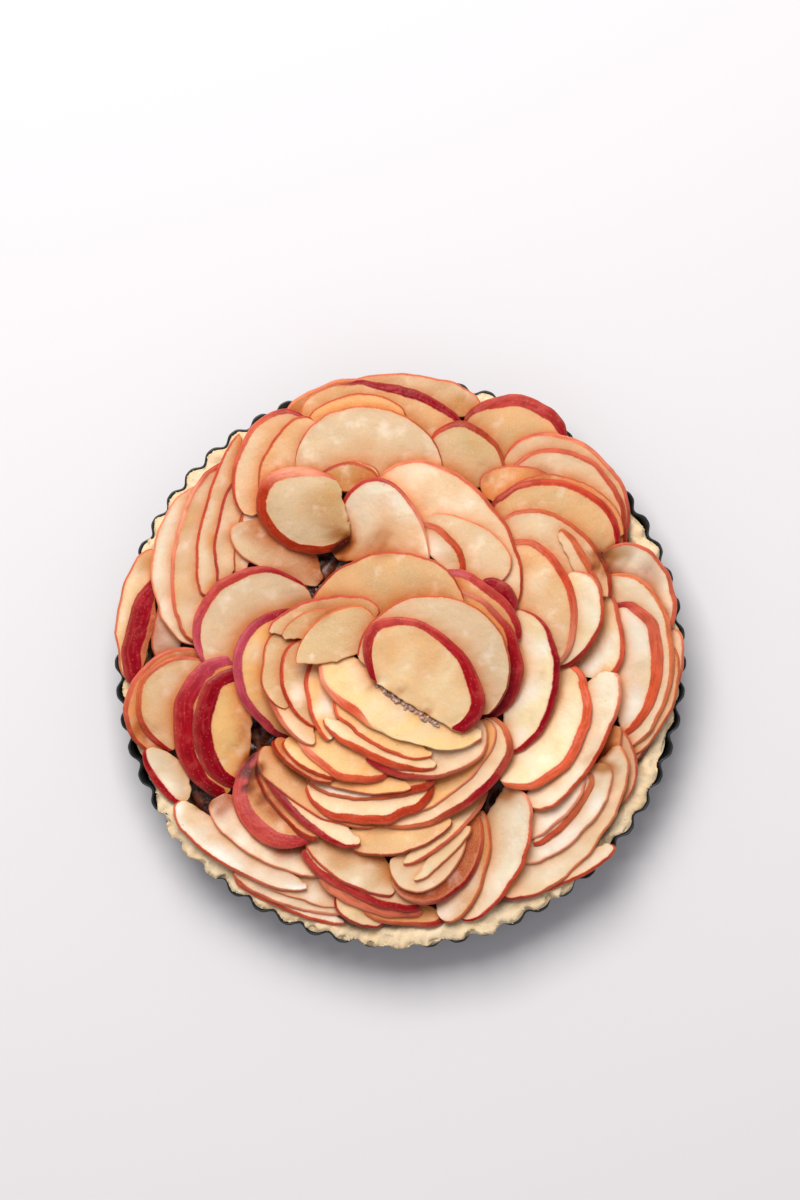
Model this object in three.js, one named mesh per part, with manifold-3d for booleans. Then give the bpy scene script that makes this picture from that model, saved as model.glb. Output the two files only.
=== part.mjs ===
// Apple tart in its own fluted tin: a shortcrust case with a dark sticky filling, covered by a
// mound of thin apple slices laid as a rose. Millimetres, +Z up, the tin stands on Z = 0 and the
// rose's centre is the Z axis. +Y is the upper side of the tart as seen from above.
import * as THREE from "three";
import Module from "manifold-3d";

// Tin
const TIN_CREST_RADIUS = 125; // over the flute crests at the rim
const FLUTES = 60;
const FLUTE_DEPTH = 2.8;
const TIN_HEIGHT = 28;
const TIN_WALL = 1.1;
const TIN_FLOOR = 1.0;
const TIN_DRAFT = 6.5; // how much smaller the radius is at the floor
const CREST_SHARE = 0.2; // half width of a flute's crest as a share of one flute
const TROUGH_SHARE = 0.13; // and of its trough

// Pastry case
const FIT_GAP = 0.3;
const CASE_TOP = 30;
const CASE_TOP_WAVE = 0.9;
const CASE_INNER_RIM = 115.5;
const CASE_INNER_FLOOR = 103;
const CASE_FLOOR = 3.5;
const LIP = 2.6; // how far the pastry hangs over the tin's rim at lower left

// Filling
const FILLING_RADIUS = 109; // at its top
const FILLING_EDGE = 22.6;
const FILLING_RISE = 4;

// Apple slices
const SLICE = 1.8; // thickness
const SINK = 0.45; // how far a slice stuck to the one below reaches into it
const REST_GAP = 0.32; // between slices that only rest on each other
const TAKEN = 0.7; // margin round a slice that counts as covered
const BACK = 3; // how far a slice runs on behind the line between the ends of its skin
const STEEPEST = 0.55;
const HIGH_POINT = 1; // how much the highest point counts against the mean when a slice settles
const MOST_BEND = 3;

const wasm = await Module();
wasm.setup();

// Angles of one ring: four points to a flute, two on its crest and two in its trough.
function ringAngles() {
  const shares = [-CREST_SHARE, CREST_SHARE, 0.5 - TROUGH_SHARE, 0.5 + TROUGH_SHARE];
  const angles = [];
  for (let i = 0; i < FLUTES; i++) {
    for (const share of shares) {
      const onCrest = Math.abs(share) <= CREST_SHARE;
      angles.push({ angle: ((i + share) / FLUTES) * 2 * Math.PI, out: onCrest ? 0 : 1 });
    }
  }
  return angles;
}
const RING = ringAngles();

// A closed ring of points: radius at the flute crest, how deep its flutes are, and its height.
function ring(radius, depth, height) {
  return RING.map(({ angle, out }) => {
    const r = (typeof radius === "function" ? radius(angle) : radius) - out * depth;
    const z = typeof height === "function" ? height(angle) : height;
    return [r * Math.cos(angle), r * Math.sin(angle), z];
  });
}

// One closed body of revolution-like rings, from the axis at the bottom round to the axis inside.
function ringBody(rings, bottom, inside) {
  const points = [[0, 0, bottom], ...rings.flat(), [0, 0, inside]];
  const n = RING.length;
  const faces = [];
  for (let i = 0; i < n; i++) {
    const j = (i + 1) % n;
    faces.push([0, 1 + j, 1 + i]);
    for (let k = 0; k + 1 < rings.length; k++) {
      const low = 1 + k * n;
      const high = low + n;
      faces.push([low + i, low + j, high + j], [low + i, high + j, high + i]);
    }
    const last = 1 + (rings.length - 1) * n;
    faces.push([last + i, last + j, points.length - 1]);
  }
  return geometryOf(points, faces);
}

function geometryOf(points, faces) {
  const geometry = new THREE.BufferGeometry();
  geometry.setAttribute("position", new THREE.Float32BufferAttribute(points.flat(), 3));
  geometry.setIndex(faces.flat());
  return geometry;
}

// The tin: a fluted wall that leans out, and a flat floor.
function tinGeometry() {
  const foot = TIN_CREST_RADIUS - TIN_DRAFT;
  return ringBody(
    [
      ring(foot, FLUTE_DEPTH, 0),
      ring(TIN_CREST_RADIUS, FLUTE_DEPTH, TIN_HEIGHT),
      ring(TIN_CREST_RADIUS - TIN_WALL, FLUTE_DEPTH, TIN_HEIGHT),
      ring(foot - TIN_WALL, FLUTE_DEPTH, TIN_FLOOR),
    ],
    0,
    TIN_FLOOR,
  );
}

// Height of the pastry's uneven rim at an angle.
function caseTop(angle) {
  const wave = Math.sin(5 * angle + 0.7) + 0.6 * Math.sin(11 * angle + 2.1);
  return CASE_TOP + CASE_TOP_WAVE * (0.6 * wave + 0.35 * Math.sin(23 * angle));
}

// How far the pastry reaches over the tin's rim: only at lower left and a little at upper right.
function caseLip(angle) {
  const lowerLeft = Math.exp(-(((angle - 3.83) / 0.16) ** 2));
  const upperRight = 0.5 * Math.exp(-(((angle - 1.15) / 0.08) ** 2));
  return LIP * (lowerLeft + upperRight);
}

// The pastry case: fluted where it lies on the tin, with a broken rim and a sloping inner face.
function caseGeometry() {
  const tinInside = TIN_CREST_RADIUS - TIN_WALL - FIT_GAP;
  const foot = tinInside - TIN_DRAFT;
  const innerRim = (angle) => CASE_INNER_RIM + 1.2 * Math.sin(7 * angle + 1) + 0.6 * Math.sin(17 * angle);
  return ringBody(
    [
      ring(foot, FLUTE_DEPTH, TIN_FLOOR + FIT_GAP),
      ring(tinInside, FLUTE_DEPTH, TIN_HEIGHT + FIT_GAP),
      ring((a) => tinInside - 0.9 + caseLip(a), FLUTE_DEPTH * 0.8, caseTop),
      ring(innerRim, 0, (a) => caseTop(a) - 0.8),
      ring(CASE_INNER_FLOOR, 0, CASE_FLOOR + TIN_FLOOR + FIT_GAP),
    ],
    TIN_FLOOR + FIT_GAP,
    CASE_FLOOR + TIN_FLOOR + FIT_GAP,
  );
}

// Height of the filling's domed top at a distance from the axis.
function fillingTop(r) {
  return FILLING_EDGE + FILLING_RISE * (1 - (r / FILLING_RADIUS) ** 2);
}

function fillingGeometry() {
  const low = CASE_FLOOR + TIN_FLOOR + 2 * FIT_GAP;
  const profile = [new THREE.Vector2(0, low), new THREE.Vector2(CASE_INNER_FLOOR - FIT_GAP, low)];
  for (let i = 0; i <= 4; i++) {
    const r = FILLING_RADIUS * (1 - i / 5);
    profile.push(new THREE.Vector2(r, fillingTop(r)));
  }
  profile.push(new THREE.Vector2(0, fillingTop(0)));
  return new THREE.LatheGeometry(profile, 36).rotateX(Math.PI / 2);
}

// Height of what lies under the slices: the filling, the case's inner face and its rim.
function ground(x, y) {
  const r = Math.hypot(x, y);
  if (r < FILLING_RADIUS) {
    return fillingTop(r);
  }
  const rim = caseTop(Math.atan2(y, x));
  if (r > CASE_INNER_RIM) {
    return rim;
  }
  const share = (r - FILLING_RADIUS) / (CASE_INNER_RIM - FILLING_RADIUS);
  return FILLING_EDGE + share * (rim - FILLING_EDGE);
}

// Plan of one slice. Its skin is an arc from end A over crown B to end C, its cut edge runs
// behind the line AC. `cut` is how many degrees of the ellipse are missing at each end, less
// than 0 for a rounder disc. `rind` is how wide the skin shows from above.
function slicePlan([a, b, c, rind = 1.2, back = BACK, cut = 0]) {
  const start = (cut * Math.PI) / 180;
  const endA = new THREE.Vector2(...a);
  const crown = new THREE.Vector2(...b);
  const endC = new THREE.Vector2(...c);
  const across = endC.clone().sub(endA);
  const half = across.length() / 2;
  across.normalize();
  const middle = endA.clone().add(endC).multiplyScalar(0.5);
  const up = crown.clone().sub(middle).divideScalar(1 - Math.sin(start));
  const centre = crown.clone().sub(up);
  const reach = half / Math.cos(start);
  const away = new THREE.Vector2(-across.y, across.x);
  if (away.dot(up) < 0) {
    away.negate();
  }
  const blunt = 0.12;
  const arc = (s) => {
    const p = start + blunt + (Math.PI - 2 * start - 2 * blunt) * s;
    return centre.clone().addScaledVector(across, -reach * Math.cos(p)).addScaledVector(up, Math.sin(p));
  };
  const rear = (s) => {
    const t = 0.03 + 0.94 * (0.5 - 0.5 * Math.cos(Math.PI * s));
    const depth = back * (0.25 + 0.75 * Math.sin(Math.PI * t) ** 0.7);
    return endA.clone().addScaledVector(across, 2 * half * t).addScaledVector(away, -depth);
  };
  return { arc, rear, across, away, rind, half, turn: 1 - cut / 45 };
}

// The slice's outline as corner points, skin side first.
function outline(plan, steps) {
  const skin = [];
  const rear = [];
  for (let i = 0; i <= steps; i++) {
    skin.push(plan.arc(i / steps));
    rear.push(plan.rear(i / steps));
  }
  return [...skin, ...rear.reverse()];
}

function samples(plan) {
  const points = [];
  for (let i = 0; i <= 14; i++) {
    for (let j = 0; j <= 6; j++) {
      points.push(plan.arc(i / 14).lerp(plan.rear(i / 14), j / 6));
    }
  }
  return points;
}

// Whether a point lies inside an outline or closer to it than a margin.
function covers(shape, x, y, margin) {
  const { box, corners } = shape;
  if (x < box[0] - margin || x > box[2] + margin || y < box[1] - margin || y > box[3] + margin) {
    return false;
  }
  let inside = false;
  for (let i = 0, j = corners.length - 1; i < corners.length; j = i++) {
    const p = corners[i];
    const q = corners[j];
    if (p.y > y !== q.y > y && x < ((q.x - p.x) * (y - p.y)) / (q.y - p.y) + p.x) {
      inside = !inside;
    }
    const dx = q.x - p.x;
    const dy = q.y - p.y;
    const t = Math.min(1, Math.max(0, ((x - p.x) * dx + (y - p.y) * dy) / (dx * dx + dy * dy || 1)));
    if (Math.hypot(x - p.x - t * dx, y - p.y - t * dy) < margin) {
      return true;
    }
  }
  return inside;
}

function shapeOf(row) {
  const plan = slicePlan(row);
  const corners = outline(plan, 12);
  const xs = corners.map((p) => p.x);
  const ys = corners.map((p) => p.y);
  const box = [Math.min(...xs), Math.min(...ys), Math.max(...xs), Math.max(...ys)];
  return { plan, corners, box, samples: samples(plan) };
}

// Lays one slice on everything below it. It is a sheet that may tilt, bend along its length and
// twist a little, and it comes to rest low, without standing steeply. It sinks a little into the
// slice it is stuck to, and keeps clear of all others.
function layOn(shape, below, stuckTo) {
  const { plan } = shape;
  const own = shape.samples;
  const cx = own.reduce((sum, p) => sum + p.x, 0) / own.length;
  const cy = own.reduce((sum, p) => sum + p.y, 0) / own.length;
  const reach = plan.half;
  const local = (x, y) => {
    const dx = x - cx;
    const dy = y - cy;
    const u = (dx * plan.across.x + dy * plan.across.y) / reach;
    const v = (dx * plan.away.x + dy * plan.away.y) / reach;
    return [u, v, u * u, u * v];
  };
  const limits = [];
  const clear = (x, y, z) => limits.push([local(x, y), z + REST_GAP]);
  const topOf = (other, x, y) => other.top(x, y) - (stuckTo.includes(other) ? SINK + REST_GAP : 0);
  for (const p of own) {
    let least = ground(p.x, p.y);
    for (const other of below) {
      if (covers(other, p.x, p.y, TAKEN)) {
        least = Math.max(least, topOf(other, p.x, p.y));
      }
    }
    clear(p.x, p.y, least);
  }
  for (const other of below) {
    for (const p of [...other.corners, ...other.samples]) {
      if (covers(shape, p.x, p.y, TAKEN)) {
        clear(p.x, p.y, topOf(other, p.x, p.y));
      }
    }
  }
  for (const [x, y, z] of RIM_POINTS) {
    if (covers(shape, x, y, TAKEN)) {
      clear(x, y, z);
    }
  }
  const places = own.map((p) => local(p.x, p.y));
  const dot = (p, q) => p[0] * q[0] + p[1] * q[1] + p[2] * q[2] + p[3] * q[3];
  const restHeight = (p) => Math.max(...limits.map(([place, least]) => least - dot(p, place)));
  const cost = (p) => {
    const heights = places.map((place) => dot(p, place));
    const mean = heights.reduce((sum, z) => sum + z, 0) / heights.length;
    const steep = Math.max(0, Math.hypot(p[0], p[1]) / reach - STEEPEST);
    const warp = 0.1 * (Math.abs(p[2]) + Math.abs(p[3]));
    return restHeight(p) + mean + HIGH_POINT * (restHeight(p) + Math.max(...heights)) + 90 * steep + warp;
  };
  let best = [0, 0.1 * reach, 0, 0];
  let least = cost(best);
  let seed = 7;
  const draw = () => {
    seed = (seed * 16807) % 2147483647;
    return seed / 2147483647 - 0.5;
  };
  for (let size = 0.5 * reach; size > 0.05; size *= 0.9) {
    for (let k = 0; k < 16; k++) {
      const next = best.map((value) => value + draw() * size);
      next[2] = Math.min(MOST_BEND, Math.max(-MOST_BEND, next[2]));
      next[3] = Math.min(MOST_BEND, Math.max(-MOST_BEND, next[3]));
      const value = cost(next);
      if (value < least) {
        [best, least] = [next, value];
      }
    }
  }
  const base = restHeight(best);
  const upright = Math.hypot(1, best[0] / reach, best[1] / reach);
  shape.bottom = (x, y) => base + dot(best, local(x, y));
  shape.top = (x, y) => shape.bottom(x, y) + SLICE * upright;
}

// A slice as a closed body: its skin edge is bevelled, wide where much skin shows.
function sliceBody({ plan, bottom, top }, steps) {
  const points = [];
  const n = steps + 1;
  const put = (p, height) => points.push([p.x, p.y, height(p.x, p.y)]) - 1;
  const low = [];
  const high = [];
  for (let i = 0; i < n; i++) {
    const s = i / steps;
    const skin = plan.arc(s);
    const rear = plan.rear(s);
    const length = skin.distanceTo(rear);
    const fade = 0.25 + 0.75 * Math.sin(Math.PI * s);
    const inset = Math.min(0.6 * length, Math.max(0.5, plan.rind * fade));
    low.push([put(skin, bottom), put(rear, bottom)]);
    high.push([put(skin.clone().lerp(rear, inset / length), top), put(rear, top)]);
  }
  const faces = [];
  const quad = (a, b, c, d) => faces.push([a, b, c], [a, c, d]);
  for (let i = 0; i + 1 < n; i++) {
    quad(high[i][0], high[i][1], high[i + 1][1], high[i + 1][0]);
    quad(low[i][1], low[i][0], low[i + 1][0], low[i + 1][1]);
    quad(low[i][0], high[i][0], high[i + 1][0], low[i + 1][0]);
    quad(high[i][1], low[i][1], low[i + 1][1], high[i + 1][1]);
  }
  quad(low[0][1], high[0][1], high[0][0], low[0][0]);
  quad(low[n - 1][0], high[n - 1][0], high[n - 1][1], low[n - 1][1]);
  const mesh = new wasm.Mesh({
    numProp: 3,
    vertProperties: new Float32Array(points.flat()),
    triVerts: new Uint32Array(faces.flat()),
  });
  const body = new wasm.Manifold(mesh);
  if (body.volume() > 0) {
    return body;
  }
  const turned = faces.map(([p, q, r]) => [p, r, q]);
  mesh.triVerts = new Uint32Array(turned.flat());
  return new wasm.Manifold(mesh);
}

// Long or rounded arcs get more steps.
function arcSteps({ half, turn }) {
  return Math.min(8, Math.round((half * turn) / 7) + 4);
}

function joined(shapes) {
  let body = null;
  for (const shape of shapes) {
    const slice = sliceBody(shape, arcSteps(shape.plan));
    body = body ? body.add(slice) : slice;
  }
  return outerBody(body.simplify(0.05));
}

// The body without hollows that joining sealed. All slices of a stack must hang together.
function outerBody(body) {
  const pieces = body.decompose().filter((piece) => piece.volume() > 1);
  pieces.sort((p, q) => q.volume() - p.volume());
  if (pieces.length > 1) {
    throw new Error(`a slice lies loose, of ${pieces[1].volume().toFixed(0)} mm3`);
  }
  return pieces[0];
}

function geometryFrom(body) {
  const { vertProperties, triVerts } = body.getMesh();
  const geometry = new THREE.BufferGeometry();
  geometry.setAttribute("position", new THREE.BufferAttribute(new Float32Array(vertProperties), 3));
  geometry.setIndex(new THREE.BufferAttribute(new Uint32Array(triVerts), 1));
  return geometry;
}

const RIM_POINTS = RING.flatMap(({ angle }) =>
  [CASE_INNER_RIM, 118, 121, 124 + caseLip(angle)].map((r) => [
    r * Math.cos(angle),
    r * Math.sin(angle),
    caseTop(angle),
  ]),
);

// The stacks, lowest first. Each slice is: end A, crown B and end C of its skin in plan, then
// the width of skin that shows, how far it runs back, and the missing degrees of its arc. The
// slices of one stack stick together, each on the one before.
const STACKS = {
  slice_north_rim_1: [
    [[-49, 104], [-36, 121.5], [-6, 121], 1.0],
    [[-28, 116], [2, 127], [36, 112], 0.8, 8],
  ],
  slice_north_rim_2: [
    [[-43, 105], [-14, 123.5], [28, 103], 2.6, 16],
    [[-42, 103], [-18, 118], [3, 105], 0.8],
  ],
  slice_northeast_1: [[[27, 102], [50, 117.5], [73, 99], 5.5, 12]],
  slice_northeast_2: [[[44, 88], [81, 96], [99, 55], 1.5]],
  slice_northeast_3: [[[12, 94], [31, 105], [46, 82], 2.5, 10]],
  slice_northeast_4: [
    [[42, 76], [80, 91], [97.5, 48], 1.8],
    [[35, 76], [48, 87], [69, 78], 0.8, 9],
  ],
  slice_northeast_5: [
    [[42, 68], [74, 81.5], [97, 55], 0.9],
    [[38, 66], [72, 79.5], [95.5, 52], 3.2, 9],
  ],
  slice_west_rim_1: [[[-108, 50], [-124, 22], [-116, -11], 1.0]],
  slice_west_rim_2: [
    [[-107, 38], [-121, 12], [-116, -9], 9],
    [[-102, 28], [-109, 14], [-104, -2], 0.8, 8],
  ],
  slice_northwest_1: [[[-83, 79], [-109, 44], [-88, 7], 0.9, 8]],
  slice_northwest_2: [[[-78, 88], [-100, 45], [-87, 9], 1.5]],
  slice_northwest_3: [[[-70, 101], [-88.5, 57], [-83, 30], 0.9]],
  slice_northwest_4: [
    [[-69, 84], [-81.5, 56], [-76, 34], 1.3],
    [[-66, 70], [-73, 52], [-70, 36], 0.8],
    [[-59, 84], [-69, 68], [-66, 50], 0.6],
    [[-64, 62], [-71, 48], [-36, 33], 0.6, 10],
  ],
  slice_northwest_5: [
    [[-69, 65], [-68, 100], [-41, 107], 2.5, 10],
    [[-61, 74], [-56, 98], [-38, 106], 0.9, 12],
  ],
  slice_west_1: [
    [[-87, 6], [-119, -10], [-107, -41], 2.5],
    [[-87, 2], [-115, -11], [-101, -39], 2.5],
  ],
  slice_west_2: [[[-112, -38], [-107, -54], [-95, -62], 1.8, 10]],
  slice_west_3: [[[-40, 32], [-78, 37], [-87, 1], 2.5, 18]],
  slice_west_4: [
    [[-74, 3], [-100, -25], [-77, -60], 6.5],
    [[-72, -2], [-91, -27], [-74, -55], 8.5, 8],
  ],
  slice_southwest_1: [
    [[-72, -94], [-52, -108], [-24, -114], 1.2],
    [[-73, -91], [-57, -104], [-26, -110], 1.2],
    [[-70, -88], [-52, -101], [-26, -106], 0.6, 9],
  ],
  slice_southwest_2: [
    [[-97, -60], [-82, -85.5], [-40, -99], 1.0],
    [[-81, -59], [-70, -81], [-33, -93], 0.9, 9],
  ],
  slice_south_rim_1: [
    [[-29, -102], [-21, -113.5], [-7, -114], 1.2],
    [[-17, -108], [2, -115.5], [19, -112], 2.5, 7],
    [[-35, -92], [-18, -107.5], [10, -109], 3.5],
  ],
  slice_south_rim_2: [
    [[-43, -81], [-22, -101.5], [9, -107], 4.0],
    [[-42, -78], [-25, -95.5], [-3, -101], 1.2, 14],
  ],
  slice_east_rim_1: [
    [[116, 14], [123, -6], [101, -44], 1.2],
    [[113, 8], [121.5, -12], [101, -41], 1.2],
  ],
  slice_east_rim_2: [[[86, 45], [112, 47], [118, 13], 1.5, 12]],
  slice_east_1: [
    [[89, 38], [119, 12], [101, -37], 1.8],
    [[93, 26], [115, 5], [98, -32], 3.2],
  ],
  slice_southeast_1: [
    [[91, -27], [103, -41], [96, -62], 0.8],
    [[97, -28], [92, -47], [82, -58], 1.0, 8],
  ],
  slice_southeast_2: [
    [[92, -79], [80, -93.5], [48, -103], 1.2],
    [[95, -35], [86, -80], [44, -102], 1.9],
  ],
  slice_southeast_3: [
    [[90, -44], [82, -72], [52, -87], 0.9, 8],
    [[83, -48], [77, -67], [58, -80], 1.8],
    [[80, -50], [73, -66], [56, -77], 1.2, 7],
  ],
  slice_east_2: [[[86, 35], [98, 10], [88, -7], 2.0, 18]],
  slice_southeast_4: [[[94, -4], [87, -40], [58, -64], 1.3, 12]],
  slice_south_1: [[[49, -53], [54.5, -86], [27, -113], 1.3, 7]],
  slice_southeast_5: [[[71, 3], [80, -35], [45, -54], 2.8, 6]],
  slice_northeast_6: [
    [[42, 58], [72, 63], [92, 29], 1.8],
    [[69, 58], [81, 48], [88, 26], 2.0],
  ],
  slice_east_3: [
    [[74, 40], [89, 22], [70, -3], 1.8],
    [[45, 52], [73, 38], [70, 0], 2.2, 8],
  ],
  slice_north_1: [
    [[-46, 86], [-15, 112.5], [18.5, 85], 0.8, 12],
    [[-30, 80], [-19, 89], [-9, 80], 0.6],
    [[-37, 78], [-23, 88], [-9, 78], 1.3],
  ],
  slice_north_2: [[[-10, 80], [34, 76], [50.5, 24], 1.3]],
  slice_north_3: [
    [[13, 65], [45, 52], [37, 33], 0.7, 7],
    [[6, 60], [23, 54.5], [26.5, 36], 2.0],
  ],
  slice_north_4: [[[-30, 47], [-10, 81], [13, 44], 1.8]],
  slice_north_disc: [[[-28, 80], [-63, 66], [-22, 54], 3.5, 1, -48]],
  slice_east_4: [[[47, 24], [69.5, -4], [48, -40], 1.8]],
  slice_centre_ring_1: [
    [[36, 37], [48.5, 32.5], [49.5, 22], 8],
    [[14, 38], [39, 34.5], [52, 10], 4],
    [[14, 33], [52, 8], [34, -26], 2.5],
  ],
  slice_centre_north: [[[-40, 26], [-3, 49], [28, 27], 0.8, 6, 15]],
  slice_west_5: [[[-44, 24], [-73.5, -2], [-43, -36], 4.5]],
  slice_southwest_3: [
    [[-62, -38], [-70.5, -69], [-39, -78], 4],
    [[-63, -42], [-56, -63], [-36, -77], 2.0],
  ],
  slice_south_2: [
    [[36, -64], [36, -97], [18, -112], 1.0, 7],
    [[-4, -96], [24, -101], [35, -66], 1.8],
  ],
  slice_south_3: [
    [[-5, -87], [12, -99.5], [29, -75], 0.8],
    [[31, -71], [22, -85], [6, -95], 0.8],
    [[38, -54], [25, -75], [1, -88], 1.5],
  ],
  slice_south_4: [
    [[-24, -76], [-4, -84], [23, -69], 0.8, 6],
    [[-61, -42], [-44, -69], [-17, -79], 2.5],
    [[-60, -36], [-48, -60], [-10, -71], 1.0],
  ],
  slice_rose_1: [
    [[40, -23], [39, -55], [-8, -71], 2.5],
    [[37, -24], [33, -48], [0, -66], 1.0],
  ],
  slice_rose_2: [
    [[-42, -54], [-12, -70.5], [15, -52], 2.5],
    [[-41, -48], [-18, -60], [14, -50], 1.3],
    [[-30, -50], [-4, -58], [15, -49], 2.4],
    [[-45, -44], [-22, -55.5], [5, -54], 0.7],
  ],
  slice_rose_3: [
    [[-56, -34], [-48, -46], [-30, -52], 2.0, 6],
    [[-51, -34], [-43, -45.5], [-26, -50], 1.5, 8],
    [[-46, -28], [-26, -50.5], [-4, -44], 2.8, 9],
  ],
  slice_rose_west: [
    [[-50, 2], [-58, -16], [-38, -36], 2],
    [[-42, 22], [-60.5, 3], [-50, -20], 0.8],
    [[-38, 12], [-53, -7], [-34, -29], 1.3],
    [[-34, 3], [-42, -10], [-32, -34], 1.8, 6],
  ],
  slice_rose_4: [
    [[36, -25], [22, -49], [-16, -41], 2.5],
    [[-34, -24], [-10, -43.5], [16, -44], 1.5],
    [[-27, -12], [-18, -32], [14, -41], 1.3],
  ],
  slice_rose_5: [[[-33, 4], [-13, -28], [36, -33], 1.8, 7]],
  slice_centre_west: [
    [[-58, 14], [-32, 29.5], [-9, 22], 0.9],
    [[-52, 12], [-30, 25], [-10, 16], 0.6],
    [[-46, 1], [-25, 25], [-8, 9], 0.6, 3],
  ],
  slice_centre_ring_2: [[[-19, 3], [28, 27], [39, -22], 0.9, 4, -20]],
  slice_centre_disc: [[[-13, -6.5], [15.2, 15.6], [26.4, -30.4], 3.5, 0.6, -41]],
};

const tart = new THREE.Group();
function addNode(name, geometry, material) {
  const mesh = new THREE.Mesh(geometry, material);
  mesh.name = name;
  tart.add(mesh);
}
function finish(color, roughness, metalness = 0) {
  return new THREE.MeshStandardMaterial({ color, roughness, metalness, flatShading: true });
}
const steel = finish("#1e2326", 0.45, 0.9);
const pastry = finish("#ecdcb8", 0.85);
const jam = finish("#3a1b12", 0.25);
const apple = finish("#eed5aa", 0.5);

addNode("tart_tin", tinGeometry(), steel);
addNode("pastry_case", caseGeometry(), pastry);
addNode("filling", fillingGeometry(), jam);
const laid = [];
for (const [name, rows] of Object.entries(STACKS)) {
  const shapes = rows.map(shapeOf);
  for (const shape of shapes) {
    layOn(shape, laid, shapes);
    laid.push(shape);
  }
  addNode(name, geometryFrom(joined(shapes)), apple);
}

export default tart;
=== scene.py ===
"""Apple tart in its fluted tin: the fine slices, pastry, filling and tin, their finishes, light and camera.

Plan sizes are in millimetres, as a baker would measure them; meshes are made in metres, +Z up.
"""

import logging
import math
from dataclasses import dataclass, field
from enum import Enum
from typing import Any, Iterable, Optional, Sequence, Union

import bpy
import numpy as np
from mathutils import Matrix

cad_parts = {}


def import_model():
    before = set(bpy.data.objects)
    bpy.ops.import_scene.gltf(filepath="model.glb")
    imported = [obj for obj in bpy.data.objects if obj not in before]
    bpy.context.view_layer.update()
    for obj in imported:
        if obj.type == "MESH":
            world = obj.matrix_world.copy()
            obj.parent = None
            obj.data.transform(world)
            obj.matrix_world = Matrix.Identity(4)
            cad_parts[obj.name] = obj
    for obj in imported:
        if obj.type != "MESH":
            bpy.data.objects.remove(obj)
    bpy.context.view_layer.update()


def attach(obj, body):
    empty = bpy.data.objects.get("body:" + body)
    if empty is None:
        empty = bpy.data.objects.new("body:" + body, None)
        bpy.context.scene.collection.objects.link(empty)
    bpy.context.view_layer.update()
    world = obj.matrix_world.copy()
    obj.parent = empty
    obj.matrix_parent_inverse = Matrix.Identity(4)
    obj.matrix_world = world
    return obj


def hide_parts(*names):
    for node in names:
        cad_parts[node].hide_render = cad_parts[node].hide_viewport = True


LOG = logging.getLogger("apple_tart")
MM = 0.001

# The photograph, and how the tin's rim lies in it
PHOTO_WIDTH = 800
PHOTO_HEIGHT = 1200
RIM_CENTRE_PIXEL = (400.5, 663.0)
RIM_WIDTH_PIXELS = 571.5

# The flutes of the tin, which the pastry takes on: the sharper they are, the narrower their troughs
FLUTES = 60
FLUTE_DEPTH = 2.8
FLUTE_SHARPNESS = 1.6

Point = tuple[float, float]
Row = np.ndarray
Socket = bpy.types.NodeSocket


def linear(hex_colour: str) -> tuple[float, float, float, float]:
    """Turn an sRGB hex colour into the linear RGBA that Blender's sockets take.

    Args:
        hex_colour: a colour such as "#E6CCB0".

    Returns:
        Linear red, green, blue and an alpha of 1.
    """
    channels = [int(hex_colour[i : i + 2], 16) / 255 for i in (1, 3, 5)]
    r, g, b = (c / 12.92 if c <= 0.04045 else ((c + 0.055) / 1.055) ** 2.4 for c in channels)
    return (r, g, b, 1.0)


class Flesh(Enum):
    """Baked apple flesh, from barely cooked to syrup-soaked."""

    WHITE = "#F9FAF2"
    MILK = "#EDE1C8"
    SHELL = "#F0DDB4"
    CREAM = "#E8D0AD"
    LEMON = "#EECD91"
    STRAW = "#F0C07C"
    SAND = "#DFC29D"
    OAT = "#E1B37F"
    BISCUIT = "#CFAE7E"
    AMBER = "#E3A668"
    HONEY = "#C99355"
    TOFFEE = "#C67538"
    CLAY = "#AE4C23"


class Skin(Enum):
    """Apple skin, from the shaded side to the sunny cheek, and flesh where it is torn off."""

    PEACH = "#F09A78"
    BLUSH = "#E48460"
    CORAL = "#DE7A4C"
    PINK = "#D26448"
    FLAME = "#DC5C36"
    ORANGE = "#C86038"
    SCARLET = "#CC4A2C"
    RUST = "#BE4038"
    RED = "#B83614"
    BRICK = "#9A2608"
    CRIMSON = "#A80C1C"
    GARNET = "#960018"
    MAUVE = "#C0485A"
    TORN = "#EFCB96"


class Ripple:
    """Smooth seeded unevenness: a sum of sine waves in many directions."""

    def __init__(self, seed: int, wavelength: float, waves: int = 9) -> None:
        """Draw the waves.

        Args:
            seed: fixes the draw.
            wavelength: mean distance between crests, in the unit of the points.
            waves: how many waves are summed.
        """
        draw = np.random.default_rng(seed)
        direction = draw.normal(size=(waves, 3))
        direction /= np.linalg.norm(direction, axis=1)[:, None]
        length = wavelength * draw.uniform(0.6, 1.6, waves)
        self.vectors = direction * (2 * math.pi / length)[:, None]
        self.phases = draw.uniform(0, 2 * math.pi, waves)
        self.share = 1 / math.sqrt(waves / 2)

    def at(self, points: np.ndarray) -> np.ndarray:
        """Return the unevenness, mostly within -1 to 1, at points of two or three coordinates."""
        angle = points @ self.vectors[:, : points.shape[-1]].T + self.phases
        return np.sin(angle).sum(axis=-1) * self.share


# Meshes


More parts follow.
